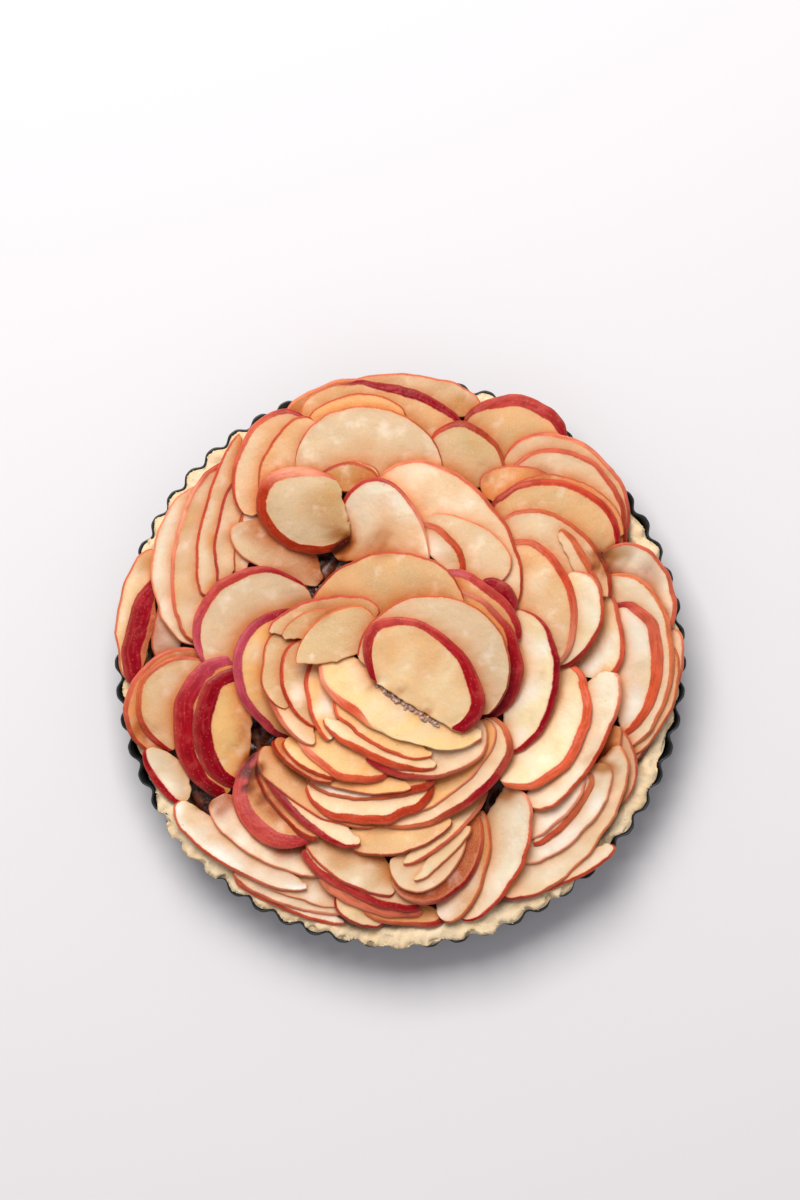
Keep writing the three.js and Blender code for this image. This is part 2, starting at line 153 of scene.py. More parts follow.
class Shell:
    """Collects closed bodies and their per-point values into one mesh."""

    def __init__(self) -> None:
        """Start empty."""
        self.points: list[np.ndarray] = []
        self.faces: list[tuple[int, ...]] = []
        self.values: dict[str, list[np.ndarray]] = {}
        self.count = 0

    def add(self, points: np.ndarray, faces: Iterable[Sequence[int]], **values: np.ndarray) -> None:
        """Add one body.

        Args:
            points: its points in millimetres, one a row.
            faces: its faces as point numbers, facing out.
            values: named values for each point, one number or a colour.
        """
        base = self.count
        self.points.append(points)
        self.faces.extend(tuple(int(i) + base for i in face) for face in faces)
        for name, rows in values.items():
            self.values.setdefault(name, []).append(rows)
        self.count += len(points)

    def mesh(self, name: str) -> bpy.types.Mesh:
        """Make the mesh in metres, smooth, with its values as point attributes.

        Args:
            name: the mesh's name.

        Returns:
            The mesh.
        """
        made = bpy.data.meshes.new(name)
        places = np.concatenate(self.points) * MM
        made.from_pydata(places.tolist(), [], self.faces)
        for key, parts in self.values.items():
            rows = np.concatenate(parts).astype(np.float32)
            kind, field_name = ("FLOAT", "value") if rows.ndim == 1 else ("FLOAT_COLOR", "color")
            made.attributes.new(key, kind, "POINT").data.foreach_set(field_name, rows.ravel())
        made.validate()
        made.shade_smooth()
        return made


def loft(rows: int, ring: int, closed_ends: bool) -> list[tuple[int, ...]]:
    """Faces of a loft whose rings follow one another in the point list.

    Args:
        rows: how many rings.
        ring: how many points each has; the ring is closed.
        closed_ends: whether the first and last ring get a cap.

    Returns:
        Quads, and a polygon at each capped end.
    """
    faces: list[tuple[int, ...]] = []
    for a in range(0, (rows - 1) * ring, ring):
        b = a + ring
        for k in range(ring):
            m = (k + 1) % ring
            faces.append((a + k, a + m, b + m, b + k))
    if closed_ends:
        faces.append(tuple(reversed(range(ring))))
        faces.append(tuple(range((rows - 1) * ring, rows * ring)))
    return faces


def capped_loft(rows: int, ring: int) -> list[tuple[int, ...]]:
    """Faces of a loft closed by two points that follow its rings, the last ring's and the first's.

    Args:
        rows: how many rings.
        ring: how many points each has; the ring is closed.

    Returns:
        Quads, and a fan of triangles at each end.
    """
    faces = loft(rows, ring, False)
    last, end = (rows - 1) * ring, rows * ring
    for k in range(ring):
        m = (k + 1) % ring
        faces += [(last + k, last + m, end), (m, k, end + 1)]
    return faces


def circle(radius: Union[float, Row], angle: Row, height: Union[float, Row] = 0.0) -> np.ndarray:
    """Return points round the axis at a radius and a height, each one number or one for each angle."""
    return np.column_stack((radius * np.cos(angle), radius * np.sin(angle), height + 0 * angle))


def flute(angle: Row, flutes: int) -> Row:
    """Return 0 on a flute's crest to 1 in its trough, at angles round the tin."""
    return (0.5 - 0.5 * np.cos(angle * flutes)) ** FLUTE_SHARPNESS


def piece(name: str, mesh: bpy.types.Mesh, finish: bpy.types.Material) -> bpy.types.Object:
    """Put a finished mesh into the scene as a piece that stays with the tart.

    Args:
        name: the piece's name.
        mesh: its mesh, in place.
        finish: its material.

    Returns:
        The new object.
    """
    made = bpy.data.objects.new(name, mesh)
    bpy.context.scene.collection.objects.link(made)
    mesh.materials.clear()
    mesh.materials.append(finish)
    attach(made, "root")
    LOG.info("%s: %d faces", name, len(mesh.polygons))
    return made


# Nodes


def feed(node: bpy.types.Node, inputs: dict[Any, Any]) -> None:
    """Set a node's inputs, each to a value, a hex colour or the socket that feeds it.

    Args:
        node: the node.
        inputs: input name or number to what goes in.
    """
    for key, value in inputs.items():
        if isinstance(value, Socket):
            node.id_data.links.new(value, node.inputs[key])
        elif isinstance(value, str) and value.startswith("#"):
            node.inputs[key].default_value = linear(value)
        else:
            node.inputs[key].default_value = value


def add_node(
    tree: bpy.types.NodeTree, kind: str, inputs: Optional[dict[Any, Any]] = None, **settings: Any
) -> bpy.types.Node:
    """Add one node with its settings and what goes into it.

    Args:
        tree: the tree that gets the node.
        kind: the node's type name.
        inputs: input name or number to a value, a hex colour or a socket.
        settings: node properties.

    Returns:
        The new node.
    """
    node = tree.nodes.new(kind)
    for name, value in settings.items():
        setattr(node, name, value)
    feed(node, inputs or {})
    return node


class NodeShape:
    """A Geometry Nodes tree with named inputs."""

    def __init__(self, name: str, **sizes: Union[int, float]) -> None:
        """Make the tree.

        Args:
            name: the tree's name.
            sizes: its inputs and their values; an input's name has spaces for underscores.
        """
        self.tree = bpy.data.node_groups.new(name, "GeometryNodeTree")
        face = self.tree.interface
        for way in ("INPUT", "OUTPUT"):
            face.new_socket("Geometry", in_out=way, socket_type="NodeSocketGeometry")
        self.values: dict[str, Union[int, float]] = {}
        for title, value in sizes.items():
            kind = "NodeSocketInt" if isinstance(value, int) else "NodeSocketFloat"
            socket = face.new_socket(title.replace("_", " "), in_out="INPUT", socket_type=kind)
            self.values[socket.identifier] = value
        self.entry = add_node(self.tree, "NodeGroupInput").outputs

    def scatter(self, points: Socket, radius: Socket, squash: float) -> Socket:
        """Put rough little balls on points.

        Args:
            points: where they lie.
            radius: radius of a ball, which each one's own size multiplies.
            squash: how high a ball is for its width.

        Returns:
            The instances.
        """
        ball = add_node(self.tree, "GeometryNodeMeshIcoSphere", {"Radius": radius, "Subdivisions": 2})
        sizes = ((0.45, 0.45, 0.45 * squash), (1.1, 1.1, 1.1 * squash), 3)
        turns = ((0.0, 0.0, 0.0), (0.4, 0.4, 6.28), 5)
        size, turn = (
            add_node(
                self.tree, "FunctionNodeRandomValue", {0: low, 1: high, "Seed": seed},
                data_type="FLOAT_VECTOR",
            ).outputs[0]
            for low, high, seed in (sizes, turns)
        )
        places = {"Points": points, "Instance": ball.outputs["Mesh"], "Scale": size, "Rotation": turn}
        return add_node(self.tree, "GeometryNodeInstanceOnPoints", places).outputs[0]

    def mesh(
        self, name: str, source: bpy.types.ID, geometry: Socket, finish: bpy.types.Material
    ) -> bpy.types.Mesh:
        """End the tree and run it.

        Args:
            name: the mesh's name.
            source: the curve or mesh that goes in.
            geometry: what comes out.
            finish: its material.

        Returns:
            The plain mesh.
        """
        real = add_node(self.tree, "GeometryNodeRealizeInstances", {"Geometry": geometry}).outputs[0]
        dressed = add_node(self.tree, "GeometryNodeSetMaterial", {"Geometry": real, "Material": finish})
        add_node(self.tree, "NodeGroupOutput", {0: dressed.outputs[0]})
        holder = bpy.data.objects.new(name, source)
        bpy.context.scene.collection.objects.link(holder)
        modifier = holder.modifiers.new(name, "NODES")
        modifier.node_group = self.tree
        for identifier, value in self.values.items():
            modifier[identifier] = value
        bpy.context.view_layer.update()
        graph = bpy.context.evaluated_depsgraph_get()
        mesh = bpy.data.meshes.new_from_object(holder.evaluated_get(graph), depsgraph=graph)
        holder.modifiers.clear()
        bpy.data.objects.remove(holder)
        mesh.name = name
        return mesh


def polyline(name: str, points: Sequence[Sequence[float]], cyclic: bool = False) -> bpy.types.Curve:
    """Return a curve through points.

    Args:
        name: the curve's name.
        points: its points in millimetres.
        cyclic: whether it is closed.

    Returns:
        The curve, in metres.
    """
    curve = bpy.data.curves.new(name, "CURVE")
    curve.dimensions = "3D"
    spline = curve.splines.new("POLY")
    spline.points.add(len(points) - 1)
    for place, (x, y, z) in zip(spline.points, points):
        place.co = (x * MM, y * MM, z * MM, 1)
    spline.use_cyclic_u = cyclic
    return curve


# Finishes

NOISE = "ShaderNodeTexNoise"
# Map Range eases in and out instead of running straight
EASED = {"interpolation_type": "SMOOTHSTEP"}


@dataclass(frozen=True)
class Wash:
    """A colour laid over another.

    Attributes:
        colour: the colour, a hex string or a socket.
        where: a pattern's socket, or a plain share.
        low, high: the pattern's values where none of the colour and all of its share shows;
            where they are left out, the pattern itself is the share.
        share: how much of the colour shows at most.
        blend: how it goes over what is below.
    """

    colour: Union[str, Socket]
    where: Union[float, Socket]
    low: Optional[float] = None
    high: Optional[float] = None
    share: float = 1.0
    blend: str = "MIX"


class Finish:
    """A material with one Principled surface, made once and used by many pieces."""

    def __init__(self, name: str) -> None:
        """Make the material.

        Args:
            name: the material's name.
        """
        self.material = bpy.data.materials.new(name)
        self.material.use_nodes = True
        self.tree = self.material.node_tree
        self.place = add_node(self.tree, "ShaderNodeTexCoord").outputs["Object"]

    def grain(self, spacing_mm: float, detail: float = 2.0, roughness: float = 0.5) -> dict[str, Any]:
        """Return a noise texture's inputs for a pattern whose spacing is given in millimetres."""
        scale = 1 / (spacing_mm * MM)
        return {"Vector": self.place, "Scale": scale, "Detail": detail, "Roughness": roughness}

    def washed(self, colour: Union[str, Socket], *washes: Wash) -> Socket:
        """Lay washes over a colour.

        Args:
            colour: the colour below, a hex string or a socket.
            washes: what goes over it, one after the other.

        Returns:
            The mixed colour.
        """
        for wash in washes:
            where = wash.where
            if wash.low is not None:
                limits = {0: where, 1: wash.low, 2: wash.high, 4: wash.share}
                where = add_node(self.tree, "ShaderNodeMapRange", limits, **EASED).outputs[0]
            colours = {0: where, 6: colour, 7: wash.colour}
            mixed = add_node(self.tree, "ShaderNodeMix", colours, data_type="RGBA", blend_type=wash.blend)
            colour = mixed.outputs[2]
        return colour

    def made(self, **surface: Any) -> bpy.types.Material:
        """Set the surface's inputs, named with underscores for spaces, and return the material."""
        feed(
            self.tree.nodes["Principled BSDF"],
            {name.replace("_", " "): value for name, value in surface.items()},
        )
        return self.material


@dataclass(frozen=True)
class BakedApple:
    """Sliced apple baked until limp: a moist, slightly see-through flesh with a waxy red skin edge.

    The flesh scatters light, which softens its shading, and its cut face has fine pores, pale
    clouds and a dull gloss. The skin is smooth and closed, so it is glossier, with pale pores.

    Attributes:
        pore_mm: spacing of the flesh's pores, drawn as coarse as they need to show.
        cloud_mm: size of its pale and ripe clouds.
        sag_mm: spacing of the soft dents in the face.
        pore_depth_mm: depth of the pores.
        sag_depth_mm: depth of the dents.
        speck_mm: spacing of its brown specks.
        halo_mm: how far the skin's colour bleeds into it.
        streak_mm: width of the skin's streaks.
        blush_mm: size of its darker and paler patches.
        lenticel_mm: spacing of its pale pores.
    """

    pore_mm: float = 0.55
    cloud_mm: float = 9.0
    sag_mm: float = 4.5
    pore_depth_mm: float = 0.05
    sag_depth_mm: float = 0.5
    speck_mm: float = 2.6
    halo_mm: float = 2.08
    streak_mm: float = 1.3
    blush_mm: float = 7.0
    lenticel_mm: float = 1.7

    def flesh(self, finish: Finish, tint: Socket, point_values: dict[str, Socket], pores: Socket) -> Socket:
        """Colour the flesh.

        Args:
            finish: the finish that it belongs to.
            tint: the slice's own flesh colour.
            point_values: the slice's values by name.
            pores: the pattern of the pores.

        Returns:
            The colour's socket.
        """
        cloud = add_node(finish.tree, NOISE, finish.grain(self.cloud_mm, 3.0)).outputs["Fac"]
        speck = add_node(finish.tree, NOISE, finish.grain(self.speck_mm, 3.0, 0.6)).outputs["Fac"]
        return finish.washed(
            tint,
            Wash("#DCA25E", cloud, 0.5, 0.75, 0.22),
            # Pale clouds, partly a painted wet sheen: near-white patches on the flesh
            Wash("#FFF8EA", cloud, 0.47, 0.25, 0.35),
            Wash("#FFF3DC", pores, 0.35, 0.7, 0.12),
            Wash("#EBA372", point_values["skin_mm"], -self.halo_mm, 0.3, 0.3),
            # Painted shade: the flesh darker deep in from the skin, where the slices above cover it
            Wash("#F6DCC4", point_values["skin_mm"], -9.0, -24.0, 0.6, "MULTIPLY"),
            Wash("#B0703A", speck, 0.68, 0.8, 0.4),
            Wash("#C88E52", point_values["cut_edge"], 0.0, 1.0, 0.5),
            # Painted contact shade: reddish brown at the foot of each slice that lies on this one
            Wash("#F0B182", point_values["contact_shade"], blend="MULTIPLY"),
            # Dried juice and painted crevice shade: brown, then dark brown where strongest
            Wash("#CC9A68", point_values["stain_and_shade"], 0.0, 0.7, blend="MULTIPLY"),
            Wash("#6A3014", point_values["stain_and_shade"], 0.5, 0.95, 0.8),
        )

    def skin(self, finish: Finish, tint: Socket, point_values: dict[str, Socket]) -> Socket:
        """Colour the skin.

        Args:
            finish: the finish that it belongs to.
            tint: the slice's own skin colour.
            point_values: the slice's values by name.

        Returns:
            The colour's socket.
        """
        tree = finish.tree
        along = add_node(tree, "ShaderNodeUVMap", uv_map="cut_mm").outputs["UV"]
        # Six times as long as they are wide, from one end of the slice to the other
        drawn = add_node(tree, "ShaderNodeMapping", {"Vector": along, "Scale": (0.16, 1.0, 1.0)}).outputs[0]
        streaks = add_node(
            tree, NOISE, {"Vector": drawn, "Scale": 1 / self.streak_mm, "Detail": 3.0}
        ).outputs["Fac"]
        blush = add_node(tree, NOISE, finish.grain(self.blush_mm)).outputs["Fac"]
        dots = add_node(
            tree, "ShaderNodeTexVoronoi", {"Vector": finish.place, "Scale": 1 / (self.lenticel_mm * MM)}
        ).outputs["Distance"]
        dark = finish.washed(tint, Wash("#6E1008", 0.55, blend="MULTIPLY"))
        pale = finish.washed(tint, Wash("#EC8C74", 0.3))
        return finish.washed(
            tint,
            # Painted sheen: the skin paler and pinker toward its outer edge, where it curves up to the sky
            Wash(pale, point_values["outward"], 0.4, 1.0, 0.35),
            Wash(dark, streaks, 0.42, 0.62, 0.45),
            Wash(pale, streaks, 0.45, 0.25, 0.4),
            Wash(pale, blush, 0.55, 0.8, 0.5),
            Wash(dark, blush, 0.45, 0.25, 0.4),
            # Painted contact shade on the skin, at the foot of a slice above
            Wash(dark, point_values["contact_shade"], 0.3, 1.0, 0.4),
            # Dried juice and painted crevice shade darken the skin
            Wash("#4A1810", point_values["stain_and_shade"], 0.3, 0.9, 0.9),
            Wash("#F0A470", point_values["skin_width_mm"], 2.0, 0.7, 0.2),
            # Painted sheen: a faint paler line along the skin's outer edge
            Wash("#F3B08A", point_values["outward"], 0.75, 1.0, 0.08),
            Wash("#F0A080", dots, 0.3, 0.1, 0.12),
        )

    def make(self) -> bpy.types.Material:
        """Make the material, which reads what the slice cutter wrote on every point.

        Returns:
            The material.
        """
        finish = Finish("baked_apple")
        tree = finish.tree
        numbers = ("skin_mm", "skin_width_mm", "outward", "cut_edge", "contact_shade", "stain_and_shade")
        names = (*numbers, "flesh_tint", "skin_tint")
        read = {name: add_node(tree, "ShaderNodeAttribute", attribute_name=name).outputs for name in names}
        point_values = {name: outputs["Fac"] for name, outputs in read.items()}
        pores, fray, sag = (
            add_node(tree, NOISE, finish.grain(spacing)).outputs["Fac"]
            for spacing in (self.pore_mm, self.streak_mm, self.sag_mm)
        )
        pored = add_node(tree, "ShaderNodeBump", {"Height": pores, "Distance": self.pore_depth_mm * MM})
        dented = {"Height": sag, "Distance": self.sag_depth_mm * MM, "Normal": pored.outputs["Normal"]}
        frayed = {0: fray, 1: 0.6, 2: point_values["skin_mm"]}
        edge = add_node(tree, "ShaderNodeMath", frayed, operation="MULTIPLY_ADD").outputs[0]
        mask = add_node(tree, "ShaderNodeMapRange", {0: edge, 1: -0.1, 2: 0.65}, **EASED).outputs[0]
        roughness, scattering = (
            add_node(tree, "ShaderNodeMapRange", {0: mask, 3: of_flesh, 4: of_skin}, **EASED).outputs[0]
            for of_flesh, of_skin in ((0.4, 0.3), (0.6, 0.15))
        )
        flesh = self.flesh(finish, read["flesh_tint"]["Color"], point_values, pores)
        skin = self.skin(finish, read["skin_tint"]["Color"], point_values)
        return finish.made(
            Base_Color=finish.washed(flesh, Wash(skin, mask)),
            Roughness=roughness,
            Normal=add_node(tree, "ShaderNodeBump", dented).outputs["Normal"],
            Subsurface_Weight=scattering,
            Subsurface_Radius=(1.0, 0.5, 0.25),
            Subsurface_Scale=1.6 * MM,
            IOR=1.4,
            Specular_IOR_Level=0.18,
        )


@dataclass(frozen=True)
class Shortcrust:
    """Shortcrust pastry, rolled and pressed by hand: pale, dry and crumbly, toasted on its high spots.

    Attributes:
        crumb_mm: spacing of its crumb.
        lump_mm: spacing of its lumps.
        crumb_depth_mm: depth of the crumb.
        lump_depth_mm: depth of the lumps.
        patch_mm: size of the patches that browned.
    """

    crumb_mm: float = 0.9
    lump_mm: float = 3.5
    crumb_depth_mm: float = 0.25
    lump_depth_mm: float = 0.4
    patch_mm: float = 11.0

    def make(self) -> bpy.types.Material:
        """Make the material, which reads how broken the pastry is.

        Returns:
            The material.
        """
        finish = Finish("shortcrust")
        tree = finish.tree
        patch, lumps = (
            add_node(tree, NOISE, finish.grain(spacing, 3.0)).outputs["Fac"]
            for spacing in (self.patch_mm, self.lump_mm)
        )
        crumb = add_node(tree, NOISE, finish.grain(self.crumb_mm, 4.0, 0.65)).outputs["Fac"]
        crumbly = add_node(tree, "ShaderNodeBump", {"Height": crumb, "Distance": self.crumb_depth_mm * MM})
        lumpy = {"Height": lumps, "Distance": self.lump_depth_mm * MM, "Normal": crumbly.outputs["Normal"]}
        broken = add_node(tree, "ShaderNodeAttribute", attribute_name="broken").outputs["Fac"]
        colour = finish.washed(
            "#F0DAB6",
            Wash("#E9CCA0", patch, 0.35, 0.7),
            Wash("#F8EBD4", crumb, 0.45, 0.7, 0.35),
            Wash("#D0A572", crumb, 0.42, 0.25, 0.28),
            Wash("#E0B886", broken, 0.3, 1.0, 0.35),
        )
        return finish.made(
            Base_Color=colour,
            Roughness=0.8,
            Normal=add_node(tree, "ShaderNodeBump", lumpy).outputs["Normal"],
            Subsurface_Weight=0.15,
            Subsurface_Radius=(1.0, 0.6, 0.3),
            Subsurface_Scale=1.2 * MM,
            Specular_IOR_Level=0.3,
        )


@dataclass(frozen=True)
class StickyFilling:
    """Fruit cooked down with sugar: almost black brown, wet and shiny, amber where it is thin.

    Attributes:
        lump_mm: spacing of its lumps.
        lump_depth_mm: depth of the lumps.
    """

    lump_mm: float = 5.0
    lump_depth_mm: float = 1.2

    def make(self) -> bpy.types.Material:
        """Make the material.

        Returns:
            The material.
        """
        finish = Finish("sticky_filling")
        lumps = add_node(finish.tree, NOISE, finish.grain(self.lump_mm, 4.0)).outputs["Fac"]
        lumpy = {"Height": lumps, "Distance": self.lump_depth_mm * MM}
        wet = {0: lumps, 1: 0.3, 2: 0.7, 3: 0.12, 4: 0.4}
        return finish.made(
            Base_Color=finish.washed("#38160F", Wash("#7E3C1E", lumps, 0.4, 0.7)),
            Roughness=add_node(finish.tree, "ShaderNodeMapRange", wet, **EASED).outputs[0],
            Normal=add_node(finish.tree, "ShaderNodeBump", lumpy).outputs["Normal"],
            Coat_Weight=0.25,
            Coat_Roughness=0.1,
            Specular_IOR_Level=0.35,
        )


@dataclass(frozen=True)
class NonStickSteel:
    """Pressed steel with a dark non-stick coat: near black, a dull gloss, a finely orange-peeled skin.

    Attributes:
        peel_mm: spacing of the coat's orange peel, drawn as coarse as it needs to show.
        peel_depth_mm: depth of the peel.
        smear_mm: size of the smears that years of greasing left.
    """

    peel_mm: float = 0.8
    peel_depth_mm: float = 0.02
    smear_mm: float = 14.0

    def make(self) -> bpy.types.Material:
        """Make the material.

        Returns:
            The material.
        """
        finish = Finish("non_stick_steel")
        peel = add_node(finish.tree, NOISE, finish.grain(self.peel_mm)).outputs["Fac"]
        smear = add_node(finish.tree, NOISE, finish.grain(self.smear_mm, 3.0)).outputs["Fac"]
        peeled = {"Height": peel, "Distance": self.peel_depth_mm * MM}
        dulled = {0: smear, 1: 0.3, 2: 0.7, 3: 0.32, 4: 0.5}
        return finish.made(
            Base_Color=finish.washed("#1B2023", Wash("#2B3236", smear, 0.35, 0.7)),
            Roughness=add_node(finish.tree, "ShaderNodeMapRange", dulled, **EASED).outputs[0],
            Normal=add_node(finish.tree, "ShaderNodeBump", peeled).outputs["Normal"],
            Metallic=0.35,
            Coat_Weight=0.2,
            Coat_Roughness=0.3,
        )


@dataclass(frozen=True)
class FoamedSyrup:
    """Juice that foamed up and dried: small matt bubbles, grey brown with a pink cast.

    Attributes:
        speck_mm: spacing of its paler specks.
    """

    speck_mm: float = 1.4

    def make(self) -> bpy.types.Material:
        """Make the material.

        Returns:
            The material.
        """
        finish = Finish("foamed_syrup")
        speck = add_node(finish.tree, NOISE, finish.grain(self.speck_mm)).outputs["Fac"]
        return finish.made(
            Base_Color=finish.washed("#8C6350", Wash("#CBA898", speck, 0.35, 0.65)),
            Roughness=0.4,
            Subsurface_Weight=0.2,
            Subsurface_Radius=(1.0, 0.6, 0.4),
            Subsurface_Scale=0.6 * MM,
        )


# Plan and rest of the slices: the same rules as in the part's source


@dataclass(frozen=True)
class Cut:
    """One slice as it lies in plan: skin end, crown and end, and how it is coloured.

    Attributes:
        a, b, c: one end of the skin, its crown and its other end, in millimetres.
        rind: widths of skin that show from above, at even places from a to c.
        flesh: colour near the skin, and near the core if two are given.
        skin: colours of the skin, at even places from a to c.
        back: how far the slice runs on behind the line between the ends.
        cut: degrees of the arc missing at each end, less than 0 for a rounder disc.
    """

    a: Point
    b: Point
    c: Point
    rind: tuple[float, ...]
    flesh: tuple[Flesh, ...]
    skin: tuple[Skin, ...]
    back: float = 3.0
    cut: float = 0.0


# How much of its arc a slice's blunt end leaves out, in radians
BLUNT = 0.12
# How thick a slice is, how far it sinks into one that it sticks to, and its gap to the others
SLICE = 1.8
SINK = 0.45
REST_GAP = 0.32
# How far outside its outline a slice still takes up room
TAKEN = 0.7
# Corners along each side of a slice's outline, and its sample points along it and across it
CORNERS = 13
SAMPLES = (15, 7)
# The steepest tilt, as rise over run, and the most that a slice bends or twists
STEEPEST = 0.55
MOST_BEND = 3.0
# What a rest costs: its highest point, what is too steep in its tilt, and its bend
HIGH_POINT = 1.0
STEEP_COST = 90
BEND_COST = 0.1
# The search for the best rest: tries with each step, the first and last step, and how it shrinks
TRIES = 16
FIRST_STEP = 0.5
LAST_STEP = 0.05
STEP_SHARE = 0.9
# The search's own draws, a plain chain of whole numbers that the part's source repeats
FIRST_DRAW = 7
DRAW_FACTOR = 16807
DRAW_LIMIT = 2147483647


class Plan:
    """Outline of a slice in plan."""

    def __init__(self, cut: Cut) -> None:
        """Work out the arc and the rear edge.

        Args:
            cut: the slice.
        """
        self.start = math.radians(cut.cut)
        end_a, crown, end_c = (np.array(p, float) for p in (cut.a, cut.b, cut.c))
        across = end_c - end_a
        self.half = float(np.linalg.norm(across)) / 2
        self.across = across / (2 * self.half)
        self.up = (crown - (end_a + end_c) / 2) / (1 - math.sin(self.start))
        self.centre = crown - self.up
        self.reach = self.half / math.cos(self.start)
        away = np.array((-self.across[1], self.across[0]))
        self.away = -away if away @ self.up < 0 else away
        self.end_a = end_a
        self.back = cut.back

    def arc(self, s: Row, blunt: float = BLUNT) -> np.ndarray:
        """Return points on the skin for shares 0 to 1 of its length."""
        p = self.start + blunt + (math.pi - 2 * self.start - 2 * blunt) * s
        return self.centre - np.cos(p)[:, None] * self.reach * self.across + np.sin(p)[:, None] * self.up

    def rear(self, s: Row) -> np.ndarray:
        """Work out the rear edge, where the slice runs under others.

        Args:
            s: shares 0 to 1 of the skin's length.

        Returns:
            Points opposite those on the skin.
        """
        t = 0.03 + 0.94 * (0.5 - 0.5 * np.cos(math.pi * s))
        depth = self.back * (0.25 + 0.75 * np.sin(math.pi * t) ** 0.7)
        return self.end_a + 2 * self.half * t[:, None] * self.across - depth[:, None] * self.away


@dataclass
class Ground:
    """The filling and the pastry rim that the slices lie on.

    Attributes:
        top: mean height of the pastry's rim.
        wave: how far the rim rises and falls.
        inner_rim: radius of its inner edge.
        overhang: how far the rim hangs over the tin at most.
        lips: where it does: middle and half width in radians, and share of the overhang.
        filling_radius: radius of the filling.
        filling_edge: its height there.
        filling_rise: how much higher its middle is.
        rim_points: places on the rim that can carry a slice.
    """

    top: float = 30.0
    wave: float = 0.9
    inner_rim: float = 115.5
    overhang: float = 2.6
    lips: tuple[tuple[float, float, float], ...] = ((3.83, 0.16, 1.0), (1.15, 0.08, 0.5))
    filling_radius: float = 109.0
    filling_edge: float = 22.6
    filling_rise: float = 4.0
    rim_points: np.ndarray = field(init=False)

    def __post_init__(self) -> None:
        """Work out the places on the rim, in four rows from its inner edge out."""
        shares = (-0.2, 0.2, 0.37, 0.63)
        angles = [(i + share) / FLUTES * 2 * math.pi for i in range(FLUTES) for share in shares]
        self.rim_points = np.array(
            [
                (r * math.cos(a), r * math.sin(a), float(self.rim(np.array(a))))
                for a in angles
                for r in (self.inner_rim, 118.0, 121.0, 124.0 + float(self.lip(np.array(a))))
            ]
        )

    def rim(self, angle: np.ndarray) -> np.ndarray:
        """Return the height of the pastry's uneven rim at angles."""
        wave = np.sin(5 * angle + 0.7) + 0.6 * np.sin(11 * angle + 2.1)
        return self.top + self.wave * (0.6 * wave + 0.35 * np.sin(23 * angle))

    def lip(self, angle: np.ndarray) -> np.ndarray:
        """Work out how far the pastry hangs over the tin's rim.

        Args:
            angle: angles round the tin.

        Returns:
            The overhang at each angle.
        """
        angle = np.mod(angle, 2 * math.pi)
        return self.overhang * sum(
            share * np.exp(-(((angle - middle) / width) ** 2)) for middle, width, share in self.lips
        )

    def filling(self, r: np.ndarray) -> np.ndarray:
        """Return the height of the filling's domed top at distances from the axis."""
        return self.filling_edge + self.filling_rise * (1 - (r / self.filling_radius) ** 2)

    def height(self, points: np.ndarray) -> np.ndarray:
        """Work out the height of what lies under the slices.

        Args:
            points: plan points.

        Returns:
            The height of the filling, the rim or the slope between them at each.
        """
        r = np.hypot(points[:, 0], points[:, 1])
        rim = self.rim(np.arctan2(points[:, 1], points[:, 0]))
        share = (r - self.filling_radius) / (self.inner_rim - self.filling_radius)
        slope = self.filling_edge + share * (rim - self.filling_edge)
        return np.where(r < self.filling_radius, self.filling(r), np.where(r > self.inner_rim, rim, slope))


